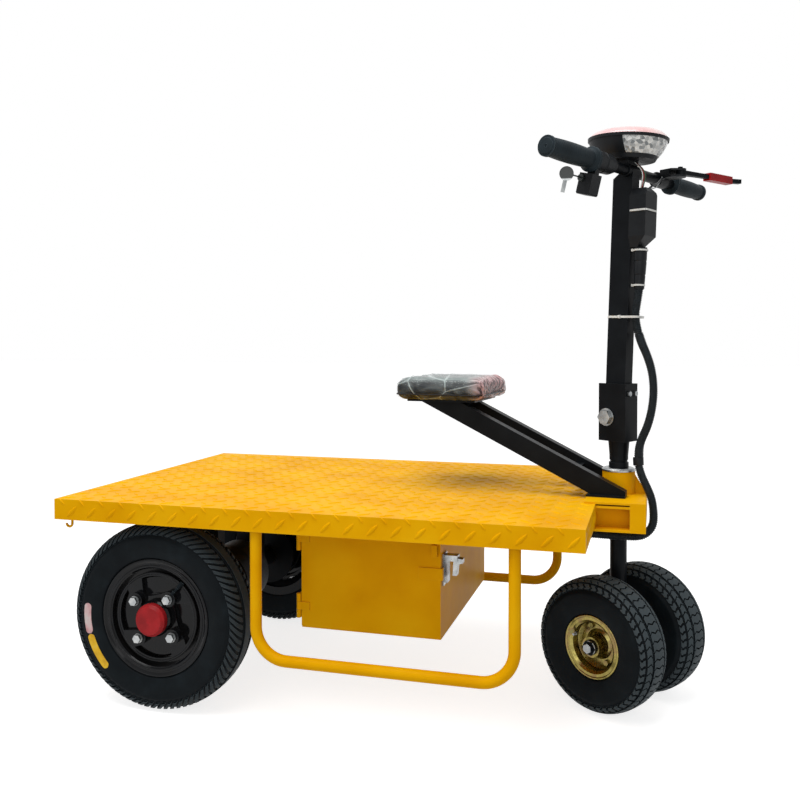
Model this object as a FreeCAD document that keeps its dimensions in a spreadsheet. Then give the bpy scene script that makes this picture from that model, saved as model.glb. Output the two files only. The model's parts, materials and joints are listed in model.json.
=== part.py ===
# Folding flatbed cart: a powered load deck on four wheels, with a seat on a slanting
# arm and a steering column that folds back over the deck.
#
# Frame: millimetres, +X forward, +Y to the cart's left, +Z up. The origin lies on the
# floor under the middle of the cart. The steering stands turned to the right, so all that
# turns with it is drawn in the steering's own frame (forward, left, up) and placed from
# there; all that folds with the column is drawn in the column's frame, whose origin is the
# fold's pivot and whose up axis runs along the column.
import FreeCAD, Part
import math
import os

import Sketcher
from FreeCAD import Vector

doc = FreeCAD.newDocument("folding_flatbed_cart")

# ---------------------------------------------------------------- driving dimensions
DIMENSIONS = [
    ("deck_rear", -667, "X of the deck's rear edge"),
    ("deck_length", 1050, "deck, rear edge to front edge"),
    ("deck_width", 700, "deck, side to side"),
    ("deck_top", 420, "height of the deck's plate"),
    ("skirt_depth", 41, "depth of the folded edge round the deck"),
    ("deck_sheet", 3, "thickness of the deck's plate and edge"),
    ("rail_depth", 50, "height of the chassis channels"),
    ("rail_flange", 37, "width of the channels' flanges"),
    ("rail_wall", 4.5, "wall of the channels"),
    ("rail_out", 120, "centre plane to the channels' flange tips"),
    ("rail_reach", 65, "how far the channels run past the deck's front edge"),
    ("nose_length", 30, "length of the cross tube at the front"),
    ("nose_plate", 4, "thickness of the plate over the front"),
    ("nose_lap", 22, "how far that plate laps over the deck"),
    ("head_outer", 33, "outer radius of the steering head"),
    ("head_bore", 26, "bore of the steering head"),
    ("head_top", 470, "height of the steering head's top"),
    ("head_cap", 6, "thickness of the dust cap on the head"),
    ("steer_ahead", 39, "deck's front edge to the steering axis"),
    ("steer_turn", 31, "how far the steering stands turned to the right"),
    ("stem_outer", 17, "radius of the steering stem"),
    ("bearing_gap", 0.05, "running clearance of shafts in their bearings"),
    ("rear_axle_ahead", 206, "deck's rear edge to the rear axle"),
    ("rear_radius", 187, "outer radius of the rear tyres"),
    ("rear_track", 566, "distance between the rear tyres' middles"),
    ("rear_width", 89, "width of the rear tyres"),
    ("rear_bead", 101, "radius of the rear tyres' beads"),
    ("rear_flange", 118, "radius of the rear rims' flanges"),
    ("rear_well", 88, "radius of the rear rims' inner well"),
    ("bolt_circle", 52.5, "wheel axis to the rear wheel bolts"),
    ("spider_out", 28, "rear tyre's middle to the wheel disc's outer face"),
    ("spider_thick", 7, "thickness of the rear wheel discs"),
    ("hub_out", 41, "rear tyre's middle to the hub's outer face"),
    ("hub_radius", 46, "radius of the rear hubs behind the wheel discs"),
    ("cap_radius", 32, "radius of the rear hub caps"),
    ("cap_height", 18, "height of the rear hub caps"),
    ("front_radius", 132.5, "outer radius of the front tyres"),
    ("front_track", 150, "distance between the front tyres' middles"),
    ("front_axle_ahead", 10, "steering axis to the front axle, forward"),
    ("front_width", 86, "width of the front tyres"),
    ("front_bead", 50.5, "radius of the front tyres' beads"),
    ("front_flange", 63, "radius of the front rims' flanges"),
    ("tyre_wall", 9, "thickness of the tyres' carcass"),
    ("rim_wall", 3, "thickness of the rims' steel"),
    ("axle_radius", 10, "radius of the wheel spindles"),
    ("half_shaft", 14, "radius of the rear axle's half shafts"),
    ("tube_radius", 11, "radius of the side guards' tube"),
    ("tube_wall", 2, "wall of the side guards' tube"),
    ("guard_rear", 433, "deck's rear edge to the guard's rear leg"),
    ("guard_front", 927, "deck's rear edge to the guard's front leg"),
    ("guard_inset", 18, "deck's side edge to the middle of the guard's tube"),
    ("guard_low", 134.5, "height of the guard's lower run"),
    ("guard_bend", 61, "bend radius of the guard's tube"),
    ("box_rear", 472, "deck's rear edge to the battery box"),
    ("box_length", 290, "battery box, along the cart"),
    ("box_width", 436, "battery box, across the cart"),
    ("box_offset", 15, "centre plane to the battery box's middle, leftward"),
    ("box_low", 156, "height of the battery box's floor"),
    ("box_sheet", 2, "thickness of the battery box's sheet"),
    ("door_low", 4, "gap from the box's floor to the door's lower edge"),
    ("door_high", 5, "gap from the box's top to the door's upper edge"),
    ("door_gap", 0.5, "clearance between door and box"),
    ("box_lip", 14, "width of the rim round the box's mouth"),
    ("hinge_low", 20, "box's floor to the lower hinge"),
    ("hinge_high", 157, "box's floor to the upper hinge"),
    ("hinge_tall", 49, "height of the hinges"),
    ("hinge_pin", 2.5, "radius of the hinge pins"),
    ("hinge_knuckle", 4.5, "radius of the hinge knuckles"),
    ("hinge_behind", 6, "box's rear corner to the hinge pins, rearward"),
    ("strap_low", 117, "box's floor to the door strap"),
    ("strap_tall", 23, "height of the door strap"),
    ("strap_long", 44, "length of the door strap on the door"),
    ("strap_thick", 2.5, "thickness of the door strap and hinge leaves"),
    ("strap_over", 4.5, "how far the door strap reaches past the box's front"),
    ("staple_long", 11, "length of the door's staple"),
    ("staple_out", 9, "how far the staple stands out of the door"),
    ("staple_bar", 4, "thickness of the staple's bars"),
    ("staple_back", 16, "box's front to the staple's rear end"),
    ("latch_in", 11, "box's right side to the latch's plate"),
    ("latch_plate", 3, "thickness of the latch's plate"),
    ("latch_wide", 30, "width of the latch's plate"),
    ("latch_tall", 62, "height of the latch's plate"),
    ("latch_loop", 20, "width of the latch's bow"),
    ("latch_bar", 11, "height of the latch's upper bar"),
    ("latch_deep", 39, "how far the latch stands out of the box's front"),
    ("pack_margin", 22, "battery pack to the box's walls"),
    ("pack_height", 150, "height of the battery pack"),
    ("seat_rear", 459, "steering axis to the seat's rear edge"),
    ("seat_length", 198, "seat cushion, along the cart"),
    ("seat_width", 212, "seat cushion, across the cart"),
    ("seat_top", 655, "height of the seat cushion's top"),
    ("seat_yaw", 4.7, "how far the seat's arms point off the centre line, degrees"),
    ("seat_thick", 44, "thickness of the seat cushion"),
    ("seat_pan", 4, "thickness of the plate under the cushion"),
    ("arm_inner", 38, "centre plane to the seat arms' inner faces"),
    ("arm_width", 25, "width of the seat arms' tube"),
    ("arm_depth", 38, "depth of the seat arms' tube"),
    ("arm_slope", 26.2, "slope of the seat arms, degrees"),
    ("foot_plate", 4, "thickness of the seat arms' foot plates"),
    ("fork_below", 49, "fold's pivot to the fold bracket's underside"),
    ("fork_above", 69, "fold's pivot to the fold bracket's top"),
    ("fork_deep", 64, "fold bracket, front to back"),
    ("fork_wide", 44, "fold bracket, side to side"),
    ("fork_back", 2.5, "steering axis to the fold bracket's middle, rearward"),
    ("fork_wall", 5, "thickness of the fold bracket's cheeks"),
    ("fork_front", 4, "thickness of the fold bracket's front wall"),
    ("fork_base", 8, "thickness of the fold bracket's floor"),
    ("fork_gap", 0.5, "clearance of the column's foot between the cheeks"),
    ("pivot_back", 15, "steering axis to the fold's pivot, rearward"),
    ("pivot_above", 110, "steering head's top to the fold's pivot"),
    ("pivot_height", "=head_top + pivot_above", "height of the fold's pivot"),
    ("pivot_radius", 6, "radius of the fold's pivot bolt"),
    ("lean", 0.6, "forward lean of the column, degrees"),
    ("side_lean", 2.3, "lean of the column tube to its left, degrees"),
    ("column_deep", 46, "column tube, front to back"),
    ("column_wide", 26, "column tube, side to side"),
    ("column_wall", 2.5, "wall of the column tube"),
    ("column_ahead", 12, "pivot to the column's middle, forward"),
    ("column_start", 44, "pivot to the column tube's lower end"),
    ("column_top", 490, "pivot to the column's top, along the column"),
    ("bar_up", 504, "pivot to the handlebar, along the column"),
    ("bar_ahead", 22, "pivot to the handlebar, forward"),
    ("bar_radius", 11, "radius of the handlebar tube"),
    ("bar_half", 277, "half the handlebar's length"),
    ("grip_radius", 18.5, "radius of the right grip's body"),
    ("left_grip_radius", 16.5, "radius of the left grip's body"),
    ("grip_length", 143, "length of the right grip"),
    ("left_grip_length", 125, "length of the left grip"),
    ("grip_flange", 6.5, "how far the grips' inner flanges stand out"),
    ("grip_over", 2, "how far the grips reach past the handlebar's ends"),
    ("throttle_radius", 21, "radius of the throttle's housing"),
    ("throttle_length", 68, "length of the throttle's housing"),
    ("switch_tilt", 13, "how far the key switch hangs rearward, degrees"),
    ("switch_deep", 31, "key switch, front to back"),
    ("switch_wide", 30, "key switch, side to side"),
    ("switch_tall", 41, "key switch, top to bottom"),
    ("lever_up", 10, "handlebar to the brake lever, upward"),
    ("perch_in", 96, "centre to the brake perch's inner end"),
    ("perch_wide", 28, "width of the brake perch's clamp"),
    ("lever_pin_ahead", 48, "handlebar to the brake lever's pin, forward"),
    ("lever_pin_in", 112, "centre to the brake lever's pin"),
    ("lever_pin", 3, "radius of the brake lever's pin"),
    ("lever_thick", 9, "thickness of the brake lever"),
    ("lamp_long", 86, "half the lamp's length"),
    ("lamp_wide", 73, "half the lamp's width"),
    ("lamp_back", 9, "handlebar to the lamp's middle, rearward"),
    ("lamp_up", 67, "handlebar to the top of the lamp's rim"),
    ("lamp_rim", 6, "height of the lamp's rim"),
    ("lamp_bowl", 31, "height of the lamp's bowl"),
    ("lamp_base", 8, "height of the lamp's base"),
    ("lamp_dome", 15, "height of the lamp's top"),
    ("lamp_tilt", 3, "how far the lamp looks down, degrees"),
    ("lens_back", 30, "lamp's middle to the lens's rear edge, forward"),
    ("cover_low", 346, "pivot to the connector cover's lower end"),
    ("cover_tall", 120, "height of the connector cover"),
    ("cover_deep", 38, "connector cover, front to back"),
    ("cover_wide", 42, "connector cover, side to side"),
    ("loom_radius", 8.5, "radius of the corrugated loom"),
    ("inner_loom_radius", 5.5, "radius of the thinner loom beside it"),
    ("beam_deep", 30, "cross tubes, top to bottom"),
    ("beam_long", 40, "cross tubes, along the cart"),
    ("beam_wall", 3, "wall of the cross tubes and the nose tube"),
    ("race_tall", 16, "height of the head's bearings"),
    ("cap_gap", 0.5, "clearance of the dust cap round the stem"),
    ("cap_lip", 1, "how far the dust cap overhangs the head"),
    ("collar_gap", 0.3, "clearance between the dust cap and the stem's collar"),
    ("bead_share", 0.72, "half width of the beads as a share of the tyres' half width"),
    ("disc_bore", 30, "radius of the bore in the rear wheel discs"),
    ("boss_radius", 15, "radius of the bosses under the wheel nuts"),
    ("boss_tall", 12, "height of the bosses under the wheel nuts"),
    ("nut_flat", 7.5, "half the width across flats of the wheel nuts"),
    ("drum_radius", 66, "radius of the rear brake drums"),
    ("axle_half", 204, "centre plane to the rear axle's brake plates"),
    ("axle_tube", 24, "radius of the rear axle's tube"),
    ("motor_radius", 72, "radius of the drive motor"),
    ("motor_long", 88, "length of the drive motor"),
    ("motor_start", 22, "centre plane to the motor's right end"),
    ("front_hub_out", 36, "front tyre's middle to the hub's outer end"),
    ("front_hub_in", 26, "front tyre's middle to the hub's inner end"),
    ("rim_bolts", 38, "wheel axis to the front rims' bolts"),
    ("pivot_washer", 18, "radius of the washers on the fold's pivot"),
    ("arm_end", 21, "steering axis to the seat arms' front end"),
    ("arm_heel", 48, "steering axis to the seat arms' heel, rearward"),
    ("foot_over", 8, "how far the arms' foot plates reach past the arms"),
    ("pan_edge", 24, "seat cushion's edge to the plate under it"),
    ("seat_corner", 16, "radius of the cushion's upright corners"),
    ("seat_round", 13, "radius of the cushion's edges"),
    ("key_bow", 13.5, "radius of the key's bow"),
    ("key_thick", 7, "thickness of the key's bow"),
]

sheet = doc.addObject("Spreadsheet::Sheet", "Dims")
for row, (alias, value, meaning) in enumerate(DIMENSIONS, start=1):
    sheet.set(f"A{row}", meaning)
    sheet.set(f"B{row}", str(value))
    sheet.setAlias(f"B{row}", alias)
doc.recompute()

nodes = {}
CROSS_BEAMS = (60, 350, 472, 716, 868)  # deck's rear edge to each cross tube


def size_of(expression):
    """The number that an expression of the sheet's aliases gives now."""
    if isinstance(expression, (int, float)):
        return float(expression)
    return float(sheet.evalExpression(expression.replace("Dims.", "")))


def bind(thing, **properties):
    """Bind each property of an object to an expression of the sheet, or set a number."""
    for name, expression in properties.items():
        path = name.replace("__", ".")
        if isinstance(expression, str):
            thing.setExpression(path, expression)
        elif "." in path:
            thing.setExpression(path, str(expression))
        else:
            setattr(thing, path, expression)
    return thing


def put(thing, place):
    """Bind the coordinates of an object's base point that are not naught."""
    for axis, expression in zip("xyz", place):
        if expression != 0:
            thing.setExpression(f"Placement.Base.{axis}", str(expression))
    return thing


# ---------------------------------------------------------------- building blocks
TURN = {"X": (Vector(0, 1, 0), 90), "Y": (Vector(1, 0, 0), -90), "Z": (Vector(0, 0, 1), 0)}


def block(name, corner, size):
    """A box from its lowest corner and its three sizes."""
    thing = doc.addObject("Part::Box", name)
    bind(thing, Length=size[0], Width=size[1], Height=size[2])
    return put(thing, corner)


def rod(name, base, axis, radius, length):
    """A round bar from the middle of its first end, along X, Y or Z."""
    thing = doc.addObject("Part::Cylinder", name)
    thing.Placement.Rotation = FreeCAD.Rotation(*TURN[axis])
    bind(thing, Radius=radius, Height=length)
    return put(thing, base)


def hexagon(name, base, axis, flat, length):
    """A hexagonal prism, as a nut or a bolt's head; flat is half its width across flats."""
    thing = doc.addObject("Part::Prism", name)
    thing.Polygon = 6
    thing.Placement.Rotation = FreeCAD.Rotation(*TURN[axis])
    bind(thing, Circumradius=f"({flat}) / cos(30)", Height=length)
    return put(thing, base)


def fuse(name, things):
    """One solid from pieces that are welded together, or pieces kept in one node."""
    thing = doc.addObject("Part::MultiFuse", name)
    thing.Shapes = things
    thing.Refine = True
    return thing


def cut(name, base, tools):
    """A piece less the shapes that are cut out of it."""
    thing = doc.addObject("Part::Cut", name)
    thing.Base = base
    thing.Tool = tools[0] if len(tools) == 1 else fuse(name + "_tools", tools)
    thing.Refine = True
    return thing


def plane_of(body, role):
    return [plane for plane in body.Origin.OriginFeatures if plane.Role == role][0]


def arc_through(start, middle, end):
    """Centre, radius and turning sense of the circle through three points."""
    ax, ay = start
    bx, by = middle
    cx, cy = end
    twice = 2 * (ax * (by - cy) + bx * (cy - ay) + cx * (ay - by))
    a2, b2, c2 = ax * ax + ay * ay, bx * bx + by * by, cx * cx + cy * cy
    ux = (a2 * (by - cy) + b2 * (cy - ay) + c2 * (ay - by)) / twice
    uy = (a2 * (cx - bx) + b2 * (ax - cx) + c2 * (bx - ax)) / twice
    return Vector(ux, uy, 0), math.hypot(ax - ux, ay - uy), twice > 0


def outline(body, name, role, corners):
    """A closed sketch. Each corner is (x, y), or (x, y, mx, my) where an arc through
    (mx, my) leads on to the next corner; every coordinate is bound to the sheet."""
    sketch = body.newObject("Sketcher::SketchObject", name)
    sketch.AttachmentSupport = [(plane_of(body, role), "")]
    sketch.MapMode = "FlatFace"
    spots = [tuple(size_of(value) for value in corner) for corner in corners]
    ends = []
    for index, spot in enumerate(spots):
        here, there = spot[:2], spots[(index + 1) % len(spots)][:2]
        if len(spot) == 2:
            geo = sketch.addGeometry(Part.LineSegment(Vector(*here, 0), Vector(*there, 0)))
            ends.append((geo, 1, 2))
            continue
        centre, radius, leftward = arc_through(here, spot[2:], there)
        angles = [math.atan2(p[1] - centre.y, p[0] - centre.x) for p in (here, there)]
        if not leftward:
            angles.reverse()
        if angles[1] < angles[0]:
            angles[1] += 2 * math.pi
        circle = Part.Circle(centre, Vector(0, 0, 1), radius)
        geo = sketch.addGeometry(Part.ArcOfCircle(circle, *angles))
        ends.append((geo, 1, 2) if leftward else (geo, 2, 1))
    for index, (geo, start, _) in enumerate(ends):
        before, _, stop = ends[index - 1]
        sketch.addConstraint(Sketcher.Constraint("Coincident", before, stop, geo, start))
    for corner, spot, (geo, start, _) in zip(corners, spots, ends):
        hold(sketch, geo, start, corner[:2], spot[:2])
        if len(corner) == 4:
            point = sketch.addGeometry(Part.Point(Vector(*spot[2:], 0)), True)
            sketch.addConstraint(Sketcher.Constraint("PointOnObject", point, 1, geo))
            hold(sketch, point, 1, corner[2:], spot[2:])
    return sketch


def hold(sketch, geo, vertex, wanted, now):
    """Fix a sketch point by its two distances from the sketch's origin."""
    for kind, expression, value in zip(("DistanceX", "DistanceY"), wanted, now):
        index = sketch.addConstraint(Sketcher.Constraint(kind, -1, 1, geo, vertex, value))
        if isinstance(expression, str):
            sketch.setExpression(f"Constraints[{index}]", expression)


def turned(name, corners, role="XY_Plane"):
    """A body turned about its axis from a half section: radius first, then place along the
    axis. The axis is Y for a section on the XY plane, Z for one on the XZ plane."""
    body = doc.addObject("PartDesign::Body", name)
    sketch = outline(body, name + "_section", role, corners)
    spin = body.newObject("PartDesign::Revolution", name + "_turned")
    spin.Profile = sketch
    spin.ReferenceAxis = (sketch, ["V_Axis"])
    spin.Angle = 360
    return body


def padded(name, role, corners, thickness, reverse=False, both=False):
    """A body padded from a closed outline."""
    body = doc.addObject("PartDesign::Body", name)
    sketch = outline(body, name + "_outline", role, corners)
    pad = body.newObject("PartDesign::Pad", name + "_pad")
    pad.Profile = sketch
    pad.Reversed = reverse
    pad.Midplane = both
    bind(pad, Length=thickness)
    return body


STEER_FRAME = ("placement(vector(Dims.deck_rear + Dims.deck_length + Dims.steer_ahead; 0; 0); "
               "rotation(vector(0; 0; 1); -Dims.steer_turn))")
COLUMN_FRAME = (STEER_FRAME + " * placement(vector(-Dims.pivot_back; 0; Dims.pivot_height); "
                "rotation(vector(0; 1; 0); Dims.lean))")
MAST_TURN = "placement(vector(0; 0; 0); rotation(vector(1; 0; 0); -Dims.side_lean))"
MAST_FRAME = f"{COLUMN_FRAME} * {MAST_TURN}"
SEAT_FRAME = ("placement(vector(Dims.deck_rear + Dims.deck_length + Dims.steer_ahead; 0; 0); "
              "rotation(vector(0; 0; 1); -Dims.seat_yaw))")


def at_point(place, turn=0, axis="0; 0; 1"):
    """A placement expression from a point, and a turn about an axis through it."""
    x, y, z = place
    return f"placement(vector({x}; {y}; {z}); rotation(vector({axis}); {turn}))"


def node(thing, label, frame=None, at=None):
    """Name a finished sub-part and place it: in a frame, at a point of it, or as drawn."""
    thing.Label = label
    where = None if at is None else at_point(at)
    if frame is not None:
        where = frame if where is None else f"{frame} * {where}"
    if where is not None:
        thing.setExpression("Placement", where)
    nodes[label] = thing
    return thing


# Places that many sub-parts share, as expressions of the sheet.
DECK_FRONT = "(Dims.deck_rear + Dims.deck_length)"
DECK_UNDER = "(Dims.deck_top - Dims.deck_sheet)"
RAIL_UNDER = f"({DECK_UNDER} - Dims.rail_depth)"
RAIL_WEB = "(Dims.rail_out - Dims.rail_flange)"
STEER_X = f"({DECK_FRONT} + Dims.steer_ahead)"
REAR_AXLE_X = "(Dims.deck_rear + Dims.rear_axle_ahead)"
NOSE_REAR = f"({DECK_FRONT} + Dims.rail_reach)"
NOSE_TOP = "(Dims.deck_top + Dims.nose_plate)"
BOX_X = "(Dims.deck_rear + Dims.box_rear)"
BOX_FRONT = f"({BOX_X} + Dims.box_length)"
BOX_RIGHT = "(Dims.box_offset - Dims.box_width / 2)"
BOX_HIGH = f"({RAIL_UNDER} - Dims.box_low)"
FORK_LOW = "(Dims.pivot_height - Dims.fork_below)"
FORK_HIGH = "(Dims.fork_above + Dims.fork_below)"
FORK_HALF = "(Dims.fork_wide / 2)"
FORK_REAR = "(-Dims.fork_back - Dims.fork_deep / 2)"
FORK_FRONT = "(Dims.fork_deep / 2 - Dims.fork_back)"


# ---------------------------------------------------------------- deck and chassis
def make_deck():
    """The deck: one plate with its edges folded down, open below."""
    past = 1
    tray = block("tray", ("Dims.deck_rear", "-Dims.deck_width / 2", "Dims.deck_top - Dims.skirt_depth"),
                 ("Dims.deck_length", "Dims.deck_width", "Dims.skirt_depth"))
    hollow = block("tray_hollow",
                   ("Dims.deck_rear + Dims.deck_sheet", "Dims.deck_sheet - Dims.deck_width / 2",
                    f"Dims.deck_top - Dims.skirt_depth - {past}"),
                   ("Dims.deck_length - 2 * Dims.deck_sheet", "Dims.deck_width - 2 * Dims.deck_sheet",
                    f"Dims.skirt_depth - Dims.deck_sheet + {past}"))
    slots = []
    for side in (-1, 1):
        slots.append(block(f"rail_slot_{side}",
                           (f"{DECK_FRONT} - 2 * Dims.deck_sheet",
                            f"{side} * (Dims.rail_out + {RAIL_WEB}) / 2 - Dims.rail_flange / 2",
                            f"{RAIL_UNDER}"),
                           ("3 * Dims.deck_sheet", "Dims.rail_flange", "Dims.rail_depth")))
    node(cut("deck_plate", tray, [hollow] + slots), "deck_plate")


def channel(name, side, start, length):
    """A chassis channel along X, open outward: its web stands towards the centre plane."""
    past = 1
    middle = f"{side} * (Dims.rail_out + {RAIL_WEB}) / 2"
    full = block(name + "_full", (start, f"{middle} - Dims.rail_flange / 2", RAIL_UNDER),
                 (length, "Dims.rail_flange", "Dims.rail_depth"))
    web_edge = f"{middle} - {side} * Dims.rail_flange / 2 + {side} * Dims.rail_wall"
    open_wide = f"(Dims.rail_flange - Dims.rail_wall + {past})"
    open_y = web_edge if side > 0 else f"{web_edge} - {open_wide}"
    hollow = block(name + "_hollow", (f"{start} - {past}", open_y, f"{RAIL_UNDER} + Dims.rail_wall"),
                   (f"{length} + {2 * past}", open_wide, "Dims.rail_depth - 2 * Dims.rail_wall"))
    return cut(name, full, [hollow])


def make_chassis():
    """Two long channels under the deck, with square tubes across them out to the edges."""
    past = 1
    start = "(Dims.deck_rear + Dims.deck_sheet)"
    length = f"({NOSE_REAR} - {start})"
    rails = [channel(f"rail_{side}", side, start, length) for side in (-1, 1)]
    node(fuse("chassis_rails", rails), "chassis_rails")
    pieces = []
    outer = "(Dims.deck_width / 2 - Dims.deck_sheet)"
    spans = ((f"-{outer}", f"{outer} - Dims.rail_out"), (f"-{RAIL_WEB}", f"2 * {RAIL_WEB}"),
             ("Dims.rail_out", f"{outer} - Dims.rail_out"))
    for ahead in CROSS_BEAMS:
        for count, (from_y, wide) in enumerate(spans):
            name = f"beam_{ahead}_{count}"
            beam = block(name, (f"Dims.deck_rear + {ahead}", from_y, f"{DECK_UNDER} - Dims.beam_deep"),
                         ("Dims.beam_long", wide, "Dims.beam_deep"))
            void = block(name + "_void",
                         (f"Dims.deck_rear + {ahead} + Dims.beam_wall", f"{from_y} - {past}",
                          f"{DECK_UNDER} - Dims.beam_deep + Dims.beam_wall"),
                         ("Dims.beam_long - 2 * Dims.beam_wall", f"{wide} + {2 * past}",
                          "Dims.beam_deep - 2 * Dims.beam_wall"))
            pieces.append(cut(name + "_tube", beam, [void]))
    node(fuse("cross_beams", pieces), "cross_beams")


def make_head():
    """The nose that carries the steering: cross tube, cover plate, floor plate and head tube."""
    past = 1
    high = f"(Dims.deck_top - {RAIL_UNDER})"
    nose = block("nose", (NOSE_REAR, "-Dims.rail_out", RAIL_UNDER),
                 ("Dims.nose_length", "2 * Dims.rail_out", high))
    nose_void = block("nose_void", (f"{NOSE_REAR} + Dims.beam_wall", "Dims.beam_wall - Dims.rail_out",
                                    f"{RAIL_UNDER} + Dims.beam_wall"),
                      ("Dims.nose_length - 2 * Dims.beam_wall", "2 * Dims.rail_out - 2 * Dims.beam_wall",
                       f"{high} - 2 * Dims.beam_wall"))
    plate = block("nose_cover", (f"{DECK_FRONT} - Dims.nose_lap", "-Dims.rail_out", "Dims.deck_top"),
                  ("Dims.nose_lap + Dims.rail_reach + Dims.nose_length", "2 * Dims.rail_out",
                   "Dims.nose_plate"))
    floor = block("nose_floor", (DECK_FRONT, f"-{RAIL_WEB}", RAIL_UNDER),
                  ("Dims.rail_reach", f"2 * {RAIL_WEB}", "Dims.nose_plate"))
    tube = rod("head_tube", (STEER_X, 0, RAIL_UNDER), "Z", "Dims.head_outer",
               f"Dims.head_top - {RAIL_UNDER}")
    web_foot = f"({NOSE_REAR} + Dims.nose_length)"
    web = padded("head_web", "XZ_Plane",
                 [(STEER_X, NOSE_TOP), (web_foot, NOSE_TOP),
                  (f"{STEER_X} + Dims.head_outer", f"Dims.head_top - 2 * Dims.nose_plate"),
                  (STEER_X, f"Dims.head_top - 2 * Dims.nose_plate")], "Dims.nose_plate", both=True)
    bore = rod("head_bore_cut", (STEER_X, 0, f"{RAIL_UNDER} - {past}"), "Z", "Dims.head_bore",
               f"Dims.head_top - {RAIL_UNDER} + {2 * past}")
    whole = fuse("head_solid", [cut("nose_tube", nose, [nose_void]), plate, floor, tube, web])
    node(cut("head_bracket", whole, [bore]), "head_bracket")

    rings = []
    for count, low in enumerate((RAIL_UNDER, "Dims.head_top - Dims.race_tall")):
        ring = rod(f"race_{count}", (STEER_X, 0, low), "Z", "Dims.head_bore", "Dims.race_tall")
        hole = rod(f"race_hole_{count}", (STEER_X, 0, f"{low} - {past}"), "Z",
                   "Dims.stem_outer + Dims.bearing_gap", f"Dims.race_tall + {2 * past}")
        rings.append(cut(f"race_ring_{count}", ring, [hole]))
    node(fuse("head_bearings", rings), "head_bearings")

    inner = "Dims.stem_outer + Dims.cap_gap"
    cap = turned("head_cap", [(inner, "Dims.head_top"),
                              ("Dims.head_outer + Dims.cap_lip", "Dims.head_top"),
                              ("Dims.head_outer + Dims.cap_lip", "Dims.head_top + Dims.head_cap / 2"),
                              ("Dims.head_outer - Dims.head_cap / 2", "Dims.head_top + Dims.head_cap"),
                              ("Dims.stem_outer + Dims.head_cap", "Dims.head_top + Dims.head_cap"),
                              (inner, "Dims.head_top + Dims.head_cap / 2")], "XZ_Plane")
    node(cap, "head_cap", at=(STEER_X, 0, 0))


def make_guards():
    """One bent tube on each side, from the deck down, along and up again."""
    for label, side in (("guard_right", -1), ("guard_left", 1)):
        body = doc.addObject("PartDesign::Body", label)
        path = body.newObject("Sketcher::SketchObject", label + "_path")
        path.AttachmentSupport = [(plane_of(body, "XZ_Plane"), "")]
        path.MapMode = "FlatFace"
        rear = size_of("Dims.deck_rear + Dims.guard_rear")
        front = size_of("Dims.deck_rear + Dims.guard_front")
        top, low, bend = size_of(DECK_UNDER), size_of("Dims.guard_low"), size_of("Dims.guard_bend")
        upright = Vector(0, 0, 1)
        path.addGeometry(Part.LineSegment(Vector(rear, top, 0), Vector(rear, low + bend, 0)))
        path.addGeometry(Part.ArcOfCircle(Part.Circle(Vector(rear + bend, low + bend, 0), upright, bend),
                                          math.pi, 1.5 * math.pi))
        path.addGeometry(Part.LineSegment(Vector(rear + bend, low, 0), Vector(front - bend, low, 0)))
        path.addGeometry(Part.ArcOfCircle(Part.Circle(Vector(front - bend, low + bend, 0), upright, bend),
                                          1.5 * math.pi, 2 * math.pi))
        path.addGeometry(Part.LineSegment(Vector(front, low + bend, 0), Vector(front, top, 0)))
        for first, second in ((0, 1), (1, 2), (2, 3), (3, 4)):
            path.addConstraint(Sketcher.Constraint("Tangent", first, 2, second, 1))
        path.addConstraint(Sketcher.Constraint("Vertical", 0))
        path.addConstraint(Sketcher.Constraint("Horizontal", 2))
        path.addConstraint(Sketcher.Constraint("Vertical", 4))
        hold(path, 0, 1, ("Dims.deck_rear + Dims.guard_rear", DECK_UNDER), (rear, top))
        hold(path, 4, 2, ("Dims.deck_rear + Dims.guard_front", DECK_UNDER), (front, top))
        level = path.addConstraint(Sketcher.Constraint("DistanceY", -1, 1, 2, 1, low))
        path.setExpression(f"Constraints[{level}]", "Dims.guard_low")
        for geo in (1, 3):
            index = path.addConstraint(Sketcher.Constraint("Radius", geo, bend))
            path.setExpression(f"Constraints[{index}]", "Dims.guard_bend")
        ring = body.newObject("Sketcher::SketchObject", label + "_ring")
        ring.AttachmentSupport = [(plane_of(body, "XY_Plane"), "")]
        ring.MapMode = "FlatFace"
        ring.setExpression("AttachmentOffset.Base.z", DECK_UNDER)
        for radius in ("Dims.tube_radius", "Dims.tube_radius - Dims.tube_wall"):
            circle = Part.Circle(Vector(rear, 0, 0), upright, size_of(radius))
            geo = ring.addGeometry(circle)
            hold(ring, geo, 3, ("Dims.deck_rear + Dims.guard_rear", 0), (rear, 0))
            index = ring.addConstraint(Sketcher.Constraint("Radius", geo, size_of(radius)))
            ring.setExpression(f"Constraints[{index}]", radius)
        tube = body.newObject("PartDesign::AdditivePipe", label + "_tube")
        tube.Profile = ring
        tube.Spine = (path, [f"Edge{number}" for number in range(1, 6)])
        node(body, label, at=(0, f"{side} * (Dims.deck_width / 2 - Dims.guard_inset)", 0))


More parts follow.
